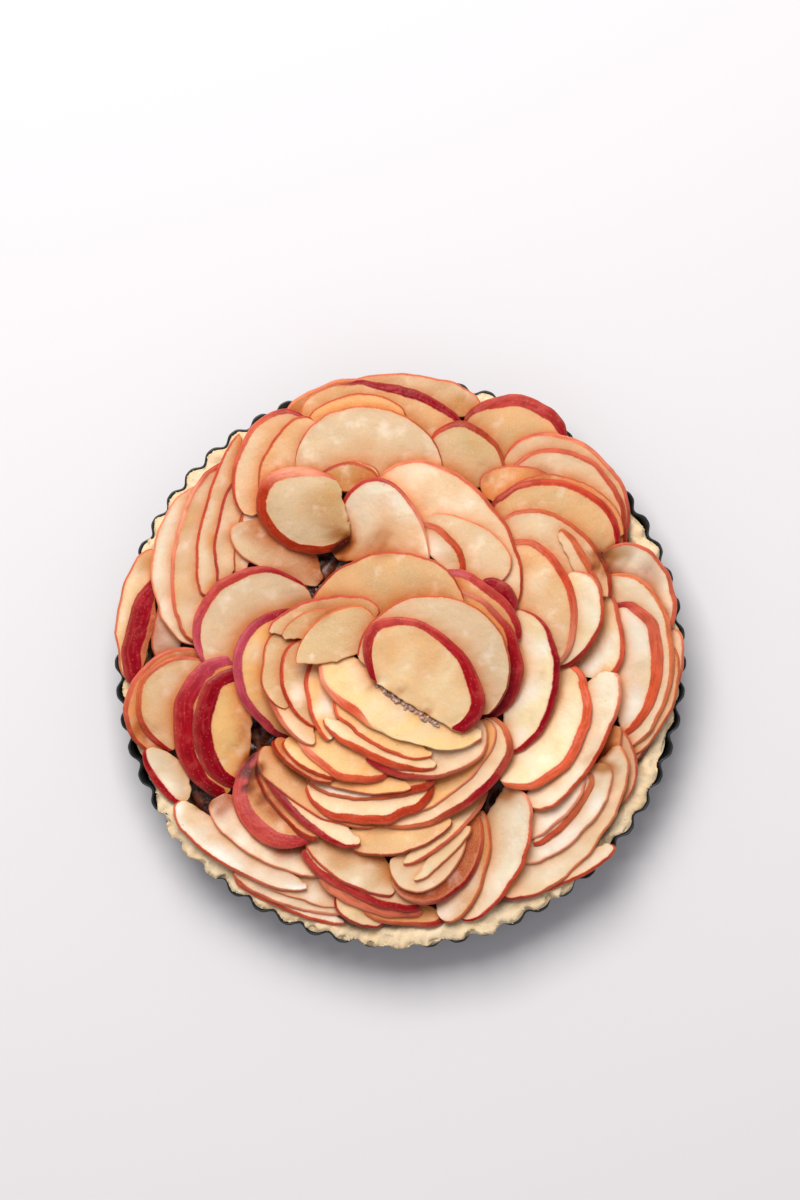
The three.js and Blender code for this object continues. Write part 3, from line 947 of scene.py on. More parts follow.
class LaidSlice:
    """A slice resting on all that lies below it: a sheet that tilts, bends and twists a little."""

    def __init__(self, cut: Cut) -> None:
        """Work out the plan and its sample points.

        Args:
            cut: the slice.
        """
        self.cut = cut
        self.plan = Plan(cut)
        s = np.linspace(0, 1, CORNERS)
        self.corners = np.concatenate((self.plan.arc(s), self.plan.rear(s)[::-1]))
        s = np.linspace(0, 1, SAMPLES[0])
        skin, rear = self.plan.arc(s), self.plan.rear(s)
        steps = np.linspace(0, 1, SAMPLES[1])[None, :, None]
        self.samples = (skin[:, None] * (1 - steps) + rear[:, None] * steps).reshape(-1, 2)
        self.middle = self.samples.mean(axis=0)
        self.low = self.corners.min(axis=0)
        self.high = self.corners.max(axis=0)
        self.shape = np.zeros(4)
        self.base = 0.0
        self.upright = 1.0

    def local(self, points: np.ndarray) -> np.ndarray:
        """Work out the terms that a sheet's tilts, bend and twist multiply.

        Args:
            points: plan points.

        Returns:
            Four terms a row: tilt along, tilt across, bend and twist.
        """
        offset = points - self.middle
        u = offset @ self.plan.across / self.plan.half
        v = offset @ self.plan.away / self.plan.half
        return np.stack((u, v, u * u, u * v), axis=1)

    def bottom(self, points: np.ndarray) -> np.ndarray:
        """Return the height of the underside at plan points."""
        return self.base + self.local(points) @ self.shape

    def top(self, points: np.ndarray) -> np.ndarray:
        """Return the height of the upper face at plan points."""
        return self.bottom(points) + SLICE * self.upright

    def gap(self, points: np.ndarray, reach: float) -> np.ndarray:
        """Measure how far points lie outside the outline.

        Args:
            points: plan points.
            reach: how far out a distance is still worked out.

        Returns:
            Distances, 0 inside the outline and infinite out of reach.
        """
        found = np.full(len(points), np.inf)
        near = np.all((points >= self.low - reach) & (points <= self.high + reach), axis=1)
        if not near.any():
            return found
        chosen = points[near][:, None]
        p, q = self.corners[None], np.roll(self.corners, 1, axis=0)[None]
        spans = (p[..., 1] > chosen[..., 1]) != (q[..., 1] > chosen[..., 1])
        rise = np.where(q[..., 1] == p[..., 1], 1e-9, q[..., 1] - p[..., 1])
        crossing = (q[..., 0] - p[..., 0]) * (chosen[..., 1] - p[..., 1]) / rise + p[..., 0]
        inside = (spans & (chosen[..., 0] < crossing)).sum(axis=1) % 2 == 1
        edge = q - p
        along = ((chosen - p) * edge).sum(axis=2) / np.maximum((edge**2).sum(axis=2), 1e-9)
        foot = p + np.clip(along, 0, 1)[..., None] * edge
        found[near] = np.where(inside, 0, np.linalg.norm(chosen - foot, axis=2).min(axis=1))
        return found

    def covers(self, points: np.ndarray) -> np.ndarray:
        """Return whether points lie inside the outline or close to it."""
        return self.gap(points, TAKEN) < TAKEN

    def contact_shade(self, points: np.ndarray, above: Sequence["LaidSlice"], reach: float = 9.0) -> np.ndarray:
        """Return how much painted contact shade falls on points of the face, next to the slices that lie on
        it.

        Args:
            points: plan points.
            above: the slices laid later.
            reach: how far the painted shade reaches out, in millimetres.

        Returns:
            1 at the foot of a slice above, falling to 0.
        """
        wet = np.zeros(len(points))
        height = self.top(points)
        for other in above:
            if np.any(other.low > self.high + reach) or np.any(other.high < self.low - reach):
                continue
            # Painted shade: deeper where the slice above stands farther off
            clear = np.clip(other.bottom(points) - height, 0, 6)
            falloff = np.exp(-other.gap(points, reach) / (2.4 + 0.3 * clear))
            wet = np.maximum(wet, falloff * (0.6 + 0.4 * np.clip(clear / 4, 0, 1)))
        return wet

    def settle(self, below: Sequence["LaidSlice"], stuck_to: Sequence["LaidSlice"], ground: Ground) -> None:
        """Find the lowest easy rest on everything below.

        Args:
            below: the slices laid before.
            stuck_to: those of its own stack, into which it sinks a little.
            ground: the filling and the rim.
        """
        least = ground.height(self.samples)
        places, heights = [], []
        for other in below:
            sunk = SINK + REST_GAP if other in stuck_to else 0.0
            hit = other.covers(self.samples)
            if hit.any():
                least[hit] = np.maximum(least[hit], other.top(self.samples[hit]) - sunk)
            points = np.concatenate((other.corners, other.samples))
            points = points[self.covers(points)]
            if len(points):
                places.append(points)
                heights.append(other.top(points) - sunk)
        rim = ground.rim_points[self.covers(ground.rim_points[:, :2])]
        local = self.local(np.concatenate([self.samples, *places, rim[:, :2]]))
        limits = np.concatenate([least, *heights, rim[:, 2]]) + REST_GAP
        own = self.local(self.samples)
        half = self.plan.half

        def rest(shape: np.ndarray) -> float:
            """Return the height at which a shape touches what is below."""
            return float((limits - local @ shape).max())

        def cost(shape: np.ndarray) -> float:
            """Weigh how high, steep and warped a shape lies.

            Args:
                shape: its two tilts, its bend and its twist.

            Returns:
                The cost, less for an easier rest.
            """
            own_heights = own @ shape
            base = rest(shape)
            steep = max(0.0, math.hypot(shape[0], shape[1]) / half - STEEPEST)
            warp = BEND_COST * (abs(shape[2]) + abs(shape[3]))
            high = HIGH_POINT * (base + float(own_heights.max()))
            return base + float(own_heights.mean()) + high + STEEP_COST * steep + warp

        best = np.array((0.0, 0.1 * half, 0.0, 0.0))
        lowest = cost(best)
        seed, size = FIRST_DRAW, FIRST_STEP * half
        while size > LAST_STEP:
            for _ in range(TRIES):
                draw = []
                for _ in range(4):
                    seed = seed * DRAW_FACTOR % DRAW_LIMIT
                    draw.append(seed / DRAW_LIMIT - 0.5)
                trial = best + np.array(draw) * size
                trial[2:] = np.clip(trial[2:], -MOST_BEND, MOST_BEND)
                value = cost(trial)
                if value < lowest:
                    best, lowest = trial, value
            size *= STEP_SHARE
        self.shape = best
        self.base = rest(best)
        self.upright = math.sqrt(1 + (best[0] / half) ** 2 + (best[1] / half) ** 2)


# The fine slice


# Where brown juice dried on the slices, and where brown shade is painted in the crevices between them:
# middle in plan, radius and strength
STAINS_AND_SHADE: tuple[tuple[float, float, float, float], ...] = (
    (-24, 53, 4, 0.95),
    (-27, 47, 5, 0.9),
    (-30, 57, 6, 0.4),
    (-9, 52, 8, 0.4),
    (88, 44, 6, 0.9),
    (94, 49, 8, 0.4),
    (-64, -45, 5, 1.0),
    (-66, -52, 5, 0.95),
    (-61, -58, 5, 0.6),
    (-54, -64, 6, 0.5),
    (-84, -59, 6, 0.9),
    (-66, -32, 11, 0.32),
    (-12, -8, 5, 0.4),
    (0, -14, 5, 0.4),
    (10, -21, 4, 0.4),
    (-113, -30, 7, 0.55),
    (62, 84, 6, 0.35),
    (36, 84, 5, 0.4),
    (-34, 22, 6, 0.3),
    (44, -58, 6, 0.5),
    (88, -42, 8, 0.6),
)


@dataclass
class SliceCutter:
    """Makes the fine mesh of a laid slice.

    Attributes:
        steps, least_steps: mesh steps along the skin of the longest and the shortest slice.
        face_rows: mesh rows across the cut face.
        skin_rows: mesh rows round the skin edge.
        wobble_mm: how uneven the skin's outline is.
        knife_mm: how ragged the knife left the edge at the core.
        warp_mm: how uneven the face dried.
        ridge_mm: how far the face rises where it meets the skin, which shrinks less.
        least_skin_mm: width of the narrowest skin.
    """

    steps: int = 64
    least_steps: int = 24
    face_rows: int = 14
    skin_rows: int = 7
    wobble_mm: float = 0.28
    knife_mm: float = 0.22
    warp_mm: float = 0.14
    ridge_mm: float = 0.14
    least_skin_mm: float = 0.45

    def along(self, values: Sequence[float], s: Row) -> np.ndarray:
        """Ease values given along the skin into one another.

        Args:
            values: the values, at even places.
            s: shares 0 to 1 of the skin's length.

        Returns:
            The value at each share.
        """
        place = np.clip(s, 0, 1) * (len(values) - 1)
        step = np.minimum(place.astype(int), max(len(values) - 2, 0))
        ease = (place - step) ** 2 * (3 - 2 * (place - step))
        row = np.asarray(values, float)
        return row[step] + (row[np.minimum(step + 1, len(row) - 1)] - row[step]) * ease

    def stained_and_shaded(self, points: np.ndarray) -> np.ndarray:
        """Work out where dried juice and painted crevice shade brown the slices.

        Args:
            points: plan points.

        Returns:
            0 to 1 at each.
        """
        clean = np.ones(len(points))
        ragged = 1 + 0.35 * Ripple(71, 6.0).at(points)
        for x, y, radius, strength in STAINS_AND_SHADE:
            far = np.hypot(points[:, 0] - x, points[:, 1] - y) / radius
            clean = clean * (1 - strength * np.clip(np.exp(-(far**2)) * ragged, 0, 1))
        return 1 - clean

    def tints(self, colours: Sequence[Enum], s: Row) -> np.ndarray:
        """Return colours given at even places, blended at shares s."""
        stops = np.array([linear(colour.value) for colour in colours])
        return np.stack([self.along(stops[:, k], s) for k in range(4)], axis=1)

    def outline(self, slice_: LaidSlice, s: Row, seed: int) -> tuple[np.ndarray, np.ndarray, Row, Row]:
        """Work out the skin's line in plan and how the slice was cut behind it.

        Args:
            slice_: the settled slice.
            s: shares of the skin's length.
            seed: fixes its unevenness.

        Returns:
            Points on the skin, the direction in from each, the slice's length there, and its skin's width.
        """
        plan, cut = slice_.plan, slice_.cut
        skin = plan.arc(s, 0.05)
        rear = plan.rear(s if cut.cut >= 0 else np.arccos(1 - 2 * s) / math.pi)
        across = rear - skin
        length = np.linalg.norm(across, axis=1)
        inward = across / length[:, None]
        edge = Ripple(seed, 14.0).at(skin) * self.wobble_mm + Ripple(seed + 1, 4.0).at(skin) * 0.08
        skin = skin + inward * (0.3 + edge[:, None])
        corner = np.clip(np.minimum(s, 1 - s) / 0.05, 0, 1)
        length = length * (0.3 + 0.7 * np.sqrt(1 - (1 - corner) ** 2))
        length = length + Ripple(seed + 5, 3.0).at(rear) * self.knife_mm
        tangent = np.gradient(skin, axis=0)
        tangent = tangent / np.linalg.norm(tangent, axis=1)[:, None]
        square = np.abs(tangent[:, 0] * inward[:, 1] - tangent[:, 1] * inward[:, 0])
        fade = 1.0 if cut.cut < 0 else 0.45 + 0.55 * np.sin(math.pi * s) ** 0.5
        band = self.along(cut.rind, s) * fade / np.clip(square, 0.5, 1)
        band = np.clip(band, self.least_skin_mm, np.maximum(0.8 * length, length - 0.6))
        return skin, inward, length, band

    def section(self, length: Row, band: Row) -> tuple[np.ndarray, np.ndarray]:
        """Work out the cross-sections: up the skin, over the face, round the core and back below.

        Args:
            length: the slice's length in from each place on the skin.
            band: its skin's width there.

        Returns:
            How far in from the skin each point lies, and its level: 0 on the underside, 1 on the face.
        """
        low = 0 * length
        arcs = np.linspace(0, math.pi / 2, self.skin_rows)
        rows = [(0.35 * np.minimum(band, 1.0), low)]
        rows += [(band * (1 - math.cos(a)), 0.3 + 0.7 * math.sin(a) + low) for a in arcs]
        for share in (0.5 - 0.5 * np.cos(np.linspace(0, math.pi, self.face_rows + 1)))[1:-1]:
            rows.append((band + (length - band - 0.35) * share, 1 + low))
        rows += [(length - 0.35, 1 + low), (length - 0.08, 0.88 + low), (length, 0.6 + low)]
        rows += [(length - 0.05, 0.15 + low), (length - 0.3, low)]
        rows += [(0.3 + (length - 0.6) * share, low) for share in (0.8, 0.55, 0.3, 0.12)]
        inset, level = zip(*rows)
        return np.stack(inset, axis=1), np.stack(level, axis=1)

    def add(self, slice_: LaidSlice, above: Sequence[LaidSlice], shell: Shell, seed: int) -> None:
        """Add a slice's closed mesh to a shell.

        Args:
            slice_: the settled slice.
            above: the slices laid after it.
            shell: what it is added to.
            seed: fixes its unevenness.
        """
        cut = slice_.cut
        n = max(self.least_steps, min(self.steps, int(slice_.plan.half * 1.6)))
        even = np.linspace(0, 1, n + 1)
        s = 0.4 * even + 0.6 * (0.5 - 0.5 * np.cos(math.pi * even))
        draw = np.random.default_rng(seed)
        skin, inward, length, band = self.outline(slice_, s, seed)
        inset, level = self.section(length, band)
        ring = inset.shape[1]
        plan_points = skin[:, None] + inward[:, None] * inset[..., None]
        flat = plan_points.reshape(-1, 2)
        thick = SLICE * slice_.upright * (1 + 0.1 * draw.uniform(-1, 0.5))
        lift = Ripple(seed + 2, 11.0).at(flat) * self.warp_mm
        raised = self.ridge_mm * np.exp(-np.abs(inset - band[:, None]) / 0.9) * (level > 0.9)
        height = slice_.bottom(flat) + (level * thick + raised).ravel() + lift
        points = np.column_stack((flat, height))
        faces = loft(n + 1, ring, True)
        turns = np.cross(skin[n // 2] - skin[n // 2 - 1], inward[n // 2])
        if turns < 0:
            faces = [tuple(reversed(face)) for face in faces]

        torn = self.along([float(colour is Skin.TORN) for colour in cut.skin], s)
        skin_mm = np.where(level > 0.001, band[:, None] - inset, 0.6 - inset) - 3 * torn[:, None]
        share = np.clip((inset - band[:, None]) / np.maximum(length - band, 1)[:, None], 0, 1)
        near = np.array(linear(cut.flesh[0].value))
        far = np.array(linear(cut.flesh[-1].value))
        blend = np.clip(share + 0.25 * Ripple(seed + 3, 16.0).at(flat).reshape(share.shape), 0, 1)
        flesh = near + (far - near) * blend[..., None]
        flesh[..., :3] *= 1 + 0.03 * draw.uniform(-1, 1)
        skins = np.repeat(self.tints(cut.skin, s)[:, None], ring, axis=1)
        arc_length = np.concatenate(([0], np.cumsum(np.linalg.norm(np.diff(skin, axis=0), axis=1))))
        shell.add(
            points,
            faces,
            contact_shade=slice_.contact_shade(flat, above),
            stain_and_shade=self.stained_and_shaded(flat),
            outward=np.clip(1 - inset / band[:, None], 0, 1).ravel(),
            skin_mm=skin_mm.ravel(),
            skin_width_mm=np.repeat(band, ring),
            flesh_tint=flesh.reshape(-1, 4),
            skin_tint=skins.reshape(-1, 4),
            cut_edge=np.where(level > 0.001, np.clip(1 - (length[:, None] - inset) / 1.1, 0, 1), 0).ravel(),
            along_mm=np.repeat(arc_length, ring) + seed * 3.7,
            across_mm=inset.ravel(),
        )


def cut_map(mesh: bpy.types.Mesh) -> None:
    """Turn the along and across values of a slice mesh into its UV map, in millimetres.

    Args:
        mesh: the slices' mesh, which loses the two values.
    """
    corners = np.empty(len(mesh.loops), np.int32)
    mesh.loops.foreach_get("vertex_index", corners)
    columns = []
    for name in ("along_mm", "across_mm"):
        values = np.empty(len(mesh.vertices), np.float32)
        mesh.attributes[name].data.foreach_get("value", values)
        columns.append(values[corners])
    layer = mesh.uv_layers.new(name="cut_mm")
    layer.data.foreach_set("uv", np.stack(columns, axis=1).ravel())
    for name in ("along_mm", "across_mm"):
        mesh.attributes.remove(mesh.attributes[name])


# The stacks, lowest first, as they lie in plan

# The table writes the two lists of colours by their first letters
F = Flesh
S = Skin
STACKS: dict[str, list[Cut]] = {
    "slice_north_rim_1": [
        Cut((-49, 104), (-36, 121.5), (-6, 121), (1.2,), (F.HONEY,), (S.BLUSH,)),
        Cut((-28, 116), (2, 127), (36, 112), (1,), (F.SAND, F.HONEY), (S.PINK,), back=8),
    ],
    "slice_north_rim_2": [
        Cut((-43, 105), (-14, 123.5), (28, 103), (0.8, 1, 4.5, 4),
            (F.OAT, F.BISCUIT), (S.CORAL, S.GARNET, S.GARNET), back=16),
        Cut((-42, 103), (-18, 118), (3, 105), (0.9,), (F.LEMON,), (S.RED,)),
    ],
    "slice_northeast_1": [
        Cut((27, 102), (50, 117.5), (73, 99), (2.1, 5.5, 6.5),
            (F.OAT, F.BISCUIT), (S.BRICK, S.RUST, S.GARNET), back=12),
    ],
    "slice_northeast_2": [
        Cut((44, 88), (81, 96), (99, 55), (1.6, 2, 2), (F.SAND,), (S.SCARLET, S.BLUSH, S.RUST)),
    ],
    "slice_northeast_3": [
        Cut((12, 94), (31, 105), (46, 82), (2.4, 3, 1.8),
            (F.BISCUIT, F.SAND), (S.SCARLET, S.BRICK, S.ORANGE), back=10),
    ],
    "slice_northeast_4": [
        Cut((42, 76), (80, 91), (97.5, 48), (2.2, 2.4, 3.2),
            (F.SAND, F.MILK), (S.ORANGE, S.PINK, S.BRICK)),
        Cut((35, 76), (48, 87), (69, 78), (0.9,), (F.AMBER,), (S.RUST,), back=9),
    ],
    "slice_northeast_5": [
        Cut((42, 68), (74, 81.5), (97, 55), (0.9,), (F.AMBER,), (S.CRIMSON, S.ORANGE)),
        Cut((38, 66), (72, 79.5), (95.5, 52), (3.8, 3, 4.2),
            (F.OAT, F.BISCUIT), (S.BRICK, S.SCARLET, S.CRIMSON), back=9),
    ],
    "slice_west_rim_1": [
        Cut((-108, 50), (-124, 22), (-116, -11), (1.1,), (F.SHELL, F.BISCUIT), (S.PINK,)),
    ],
    "slice_west_rim_2": [
        Cut((-107, 38), (-121, 12), (-116, -9), (9,), (F.CLAY,), (S.CRIMSON, S.GARNET, S.GARNET)),
        Cut((-102, 28), (-109, 14), (-104, -2), (0.9,), (F.TOFFEE, F.WHITE), (S.CRIMSON,), back=8),
    ],
    "slice_northwest_1": [
        Cut((-83, 79), (-109, 44), (-88, 7), (1,), (F.MILK, F.OAT), (S.BLUSH,), back=8),
    ],
    "slice_northwest_2": [
        Cut((-78, 88), (-100, 45), (-87, 9), (3.2, 1.7, 1.8),
            (F.OAT, F.MILK), (S.RED, S.PEACH, S.PINK, S.RED)),
    ],
    "slice_northwest_3": [
        Cut((-70, 101), (-88.5, 57), (-83, 30), (1.3,), (F.CREAM, F.AMBER), (S.SCARLET, S.RED)),
    ],
    "slice_northwest_4": [
        Cut((-69, 84), (-81.5, 56), (-76, 34), (1.7, 1.3, 1.7),
            (F.SAND, F.CREAM), (S.BRICK, S.CRIMSON, S.GARNET)),
        Cut((-66, 70), (-73, 52), (-70, 36), (0.9,), (F.SAND,), (S.BRICK,)),
        Cut((-59, 84), (-69, 68), (-66, 50), (0.8,), (F.WHITE,), (S.RED,)),
        Cut((-64, 62), (-71, 48), (-36, 33), (0.8,), (F.SAND, F.TOFFEE), (S.BLUSH,), back=10),
    ],
    "slice_northwest_5": [
        Cut((-69, 65), (-68, 100), (-41, 107), (1.3, 2.4, 3.2),
            (F.SAND, F.OAT), (S.RED, S.PINK, S.CRIMSON), back=10),
        Cut((-61, 74), (-56, 98), (-38, 106), (0.9, 1.3, 1.3), (F.OAT, F.SAND), (S.RED,), back=12),
    ],
    "slice_west_1": [
        Cut((-87, 6), (-119, -10), (-107, -41), (2.4,), (F.AMBER, F.CLAY), (S.PINK, S.PINK, S.BRICK)),
        Cut((-87, 2), (-115, -11), (-101, -39), (2.4, 2.4, 3.8),
            (F.OAT, F.CREAM), (S.PINK, S.ORANGE, S.CRIMSON)),
    ],
    "slice_west_2": [
        Cut((-112, -38), (-107, -54), (-95, -62), (2.2, 3.2, 2.2),
            (F.MILK, F.SAND), (S.CRIMSON,), back=10),
    ],
    "slice_west_3": [
        Cut((-40, 32), (-78, 37), (-87, 1), (1.7, 4.2, 5),
            (F.SAND,), (S.GARNET, S.RUST, S.MAUVE), back=18),
    ],
    "slice_west_4": [
        Cut((-74, 3), (-100, -25), (-77, -60), (7.5, 9, 7), (F.AMBER,), (S.MAUVE, S.CRIMSON, S.GARNET)),
        Cut((-72, -2), (-91, -27), (-74, -55), (8.5,), (F.STRAW, F.AMBER), (S.GARNET,), back=8),
    ],
    "slice_southwest_1": [
        Cut((-72, -94), (-52, -108), (-24, -114), (1.7,), (F.WHITE,), (S.SCARLET,)),
        Cut((-73, -91), (-57, -104), (-26, -110), (1.4, 1.3, 1.7), (F.MILK,), (S.RED, S.PEACH)),
        Cut((-70, -88), (-52, -101), (-26, -106), (0.8,), (F.SAND, F.WHITE), (S.PEACH,), back=9),
    ],
    "slice_southwest_2": [
        Cut((-97, -60), (-82, -85.5), (-40, -99), (1.4, 1.4, 1.1),
            (F.WHITE, F.SAND), (S.PINK, S.SCARLET, S.PEACH)),
        Cut((-81, -59), (-70, -81), (-33, -93), (0.9, 0.9, 1.3), (F.MILK, F.CLAY), (S.BLUSH,), back=9),
    ],
    "slice_south_rim_1": [
        Cut((-29, -102), (-21, -113.5), (-7, -114), (1.5, 1.3, 1.7), (F.SHELL,), (S.CRIMSON,)),
        Cut((-17, -108), (2, -115.5), (19, -112), (1.8, 1.8, 3.8),
            (F.AMBER,), (S.CORAL, S.CRIMSON), back=7),
        Cut((-35, -92), (-18, -107.5), (10, -109), (3.2, 4.4, 3.2), (F.AMBER,), (S.BLUSH, S.PINK)),
    ],
    "slice_south_rim_2": [
        Cut((-43, -81), (-22, -101.5), (9, -107), (3.7,), (F.CREAM,), (S.RUST, S.CRIMSON)),
        Cut((-42, -78), (-25, -95.5), (-3, -101), (1.3, 1.3, 1.7),
            (F.CREAM, F.HONEY), (S.SCARLET, S.CRIMSON), back=14),
    ],
    "slice_east_rim_1": [
        Cut((116, 14), (123, -6), (101, -44), (1.3,), (F.MILK,), (S.BLUSH, S.CRIMSON)),
        Cut((113, 8), (121.5, -12), (101, -41), (1.3,), (F.SAND,), (S.ORANGE,)),
    ],
    "slice_east_rim_2": [
        Cut((86, 45), (112, 47), (118, 13), (1.1, 1.8, 3.2), (F.MILK, F.CLAY), (S.PINK,), back=12),
    ],
    "slice_east_1": [
        Cut((89, 38), (119, 12), (101, -37), (1.8, 2.4, 1.8), (F.MILK, F.CREAM), (S.CORAL,)),
        Cut((93, 26), (115, 5), (98, -32), (4.6, 5.6, 4.2),
            (F.CREAM, F.WHITE), (S.CRIMSON, S.PINK, S.FLAME, S.SCARLET)),
    ],
    "slice_southeast_1": [
        Cut((91, -27), (103, -41), (96, -62), (0.8, 1.2, 1), (F.CREAM,), (S.RUST,)),
        Cut((97, -28), (92, -47), (82, -58), (1.2,), (F.AMBER,), (S.ORANGE,), back=8),
    ],
    "slice_southeast_2": [
        Cut((92, -79), (80, -93.5), (48, -103), (1.6,), (F.MILK,), (S.SCARLET,)),
        Cut((95, -35), (86, -80), (44, -102), (1.3, 1.2, 2),
            (F.CREAM, F.MILK), (S.BLUSH, S.CORAL, S.GARNET)),
    ],
    "slice_southeast_3": [
        Cut((90, -44), (82, -72), (52, -87), (0.9, 1.1, 1.3), (F.MILK, F.WHITE), (S.PEACH,), back=8),
        Cut((83, -48), (77, -67), (58, -80), (3.1,), (F.WHITE,), (S.CORAL, S.SCARLET)),
        Cut((80, -50), (73, -66), (56, -77), (1.7, 1.5, 1.3), (F.WHITE,), (S.PEACH,), back=7),
    ],
    "slice_east_2": [
        Cut((86, 35), (98, 10), (88, -7), (1.7, 2.2, 3.4),
            (F.SHELL, F.WHITE), (S.PINK, S.SCARLET), back=18),
    ],
    "slice_southeast_4": [
        Cut((94, -4), (87, -40), (58, -64), (1.8,), (F.MILK,), (S.PEACH, S.RED, S.ORANGE), back=12),
    ],
    "slice_south_1": [
        Cut((49, -53), (54.5, -86), (27, -113), (1.3, 1.8, 1.8),
            (F.MILK, F.SAND), (S.PEACH, S.SCARLET, S.CRIMSON), back=7),
    ],
    "slice_southeast_5": [
        Cut((71, 3), (80, -35), (45, -54), (3.8, 4.4, 4.2),
            (F.SHELL, F.MILK), (S.FLAME, S.FLAME, S.FLAME, S.ORANGE), back=6),
    ],
    "slice_northeast_6": [
        Cut((42, 58), (72, 63), (92, 29), (2.2, 2, 3), (F.SAND, F.CREAM), (S.PINK, S.ORANGE, S.BRICK)),
        Cut((69, 58), (81, 48), (88, 26), (1.8, 3.4, 2.4), (F.SAND,), (S.ORANGE,)),
    ],
    "slice_east_3": [
        Cut((74, 40), (89, 22), (70, -3), (1.1, 1.7, 3.4),
            (F.MILK, F.SHELL), (S.BLUSH, S.SCARLET, S.GARNET)),
        Cut((45, 52), (73, 38), (70, 0), (3.5,), (F.OAT, F.CREAM), (S.ORANGE, S.SCARLET, S.PEACH), back=8),
    ],
    "slice_north_1": [
        Cut((-46, 86), (-15, 112.5), (18.5, 85), (0.9,), (F.SAND,), (S.RUST, S.ORANGE, S.BRICK), back=12),
        Cut((-30, 80), (-19, 89), (-9, 80), (0.8,), (F.CREAM,), (S.ORANGE,)),
        Cut((-37, 78), (-23, 88), (-9, 78), (1.5,), (F.HONEY,), (S.GARNET, S.ORANGE)),
    ],
    "slice_north_2": [
        Cut((-10, 80), (34, 76), (50.5, 24), (1.8, 1.8, 1.5), (F.SAND, F.MILK), (S.BLUSH, S.RED)),
    ],
    "slice_north_3": [
        Cut((13, 65), (45, 52), (37, 33), (0.8,), (F.SAND,), (S.BLUSH,), back=7),
        Cut((6, 60), (23, 54.5), (26.5, 36), (3.1,), (F.BISCUIT, F.WHITE), (S.ORANGE, S.RED)),
    ],
    "slice_north_4": [
        Cut((-30, 47), (-10, 81), (13, 44), (2.2, 1.8, 2.2),
            (F.MILK, F.AMBER), (S.CRIMSON, S.RUST, S.PEACH)),
    ],
    "slice_north_disc": [
        Cut((-28, 80), (-63, 66), (-22, 54), (2.2, 5.6, 4.4, 4, 3.4),
            (F.SAND, F.BISCUIT), (S.PINK, S.PEACH, S.RED, S.RED, S.RED, S.BRICK), back=1, cut=-48),
    ],
    "slice_east_4": [
        Cut((47, 24), (69.5, -4), (48, -40), (0.9, 3, 3.4),
            (F.SHELL, F.WHITE), (S.RUST, S.GARNET, S.CRIMSON)),
    ],
    "slice_centre_ring_1": [
        Cut((36, 37), (48.5, 32.5), (49.5, 22), (8,), (F.AMBER,), (S.GARNET,)),
        Cut((14, 38), (39, 34.5), (52, 10), (4, 3.8, 3.6), (F.OAT,), (S.MAUVE, S.RUST, S.CRIMSON)),
        Cut((14, 33), (52, 8), (34, -26), (1.8, 3, 7.5, 6.5), (F.LEMON,), (S.PEACH, S.CRIMSON, S.GARNET)),
    ],
    "slice_centre_north": [
        Cut((-40, 26), (-3, 49), (28, 27), (1.1,),
            (F.OAT, F.BISCUIT), (S.BRICK, S.RUST, S.BRICK), back=6, cut=15),
    ],
    "slice_west_5": [
        Cut((-44, 24), (-73.5, -2), (-43, -36), (5.4, 4.2, 4.2),
            (F.STRAW, F.MILK), (S.GARNET, S.MAUVE, S.GARNET)),
    ],
    "slice_southwest_3": [
        Cut((-62, -38), (-70.5, -69), (-39, -78), (5, 7, 8.5, 8),
            (F.HONEY, F.AMBER), (S.MAUVE, S.RUST, S.RUST, S.CRIMSON)),
        Cut((-63, -42), (-56, -63), (-36, -77), (3.2, 1.5, 3.4), (F.AMBER,), (S.BRICK,)),
    ],
    "slice_south_2": [
        Cut((36, -64), (36, -97), (18, -112), (1.4,), (F.HONEY, F.WHITE), (S.ORANGE,), back=7),
        Cut((-4, -96), (24, -101), (35, -66), (1.8, 1.8, 2.2),
            (F.CLAY, F.TOFFEE), (S.PEACH, S.GARNET, S.ORANGE)),
    ],
    "slice_south_3": [
        Cut((-5, -87), (12, -99.5), (29, -75), (0.8, 0.8, 1.2), (F.CREAM, F.SAND), (S.BLUSH,)),
        Cut((31, -71), (22, -85), (6, -95), (1.1,), (F.SHELL,), (S.ORANGE,)),
        Cut((38, -54), (25, -75), (1, -88), (2.2, 1.8, 1.6), (F.SHELL,), (S.BLUSH, S.SCARLET)),
    ],
    "slice_south_4": [
        Cut((-24, -76), (-4, -84), (23, -69), (1.2,), (F.OAT, F.LEMON), (S.BRICK,), back=6),
        Cut((-61, -42), (-44, -69), (-17, -79), (4.4, 3.2, 1.6), (F.SHELL, F.MILK), (S.GARNET, S.CRIMSON)),
        Cut((-60, -36), (-48, -60), (-10, -71), (1.1,), (F.OAT, F.HONEY), (S.BRICK, S.SCARLET)),
    ],
    "slice_rose_1": [
        Cut((40, -23), (39, -55), (-8, -71), (3.4, 3.6, 2.4),
            (F.CREAM, F.MILK), (S.CORAL, S.GARNET, S.CORAL)),
        Cut((37, -24), (33, -48), (0, -66), (1.2,), (F.STRAW,), (S.BLUSH,)),
    ],
    "slice_rose_2": [
        Cut((-42, -54), (-12, -70.5), (15, -52), (2, 4.2, 4.4), (F.SHELL, F.MILK), (S.SCARLET, S.RED)),
        Cut((-41, -48), (-18, -60), (14, -50), (1.8, 1.7, 1.5), (F.WHITE,), (S.ORANGE,)),
        Cut((-30, -50), (-4, -58), (15, -49), (3.4, 3.4, 4.2), (F.STRAW,), (S.RED,)),
        Cut((-45, -44), (-22, -55.5), (5, -54), (0.8,), (F.STRAW,), (S.ORANGE,)),
    ],
    "slice_rose_3": [
        Cut((-56, -34), (-48, -46), (-30, -52), (2.4, 1.6, 1.6), (F.TOFFEE,), (S.BRICK,), back=6),
        Cut((-51, -34), (-43, -45.5), (-26, -50), (1.6, 1.6, 2.2), (F.LEMON,), (S.RED,), back=8),
        Cut((-46, -28), (-26, -50.5), (-4, -44), (4.2, 3.4, 3.2),
            (F.LEMON, F.STRAW), (S.PEACH, S.FLAME, S.SCARLET), back=9),
    ],
    "slice_rose_west": [
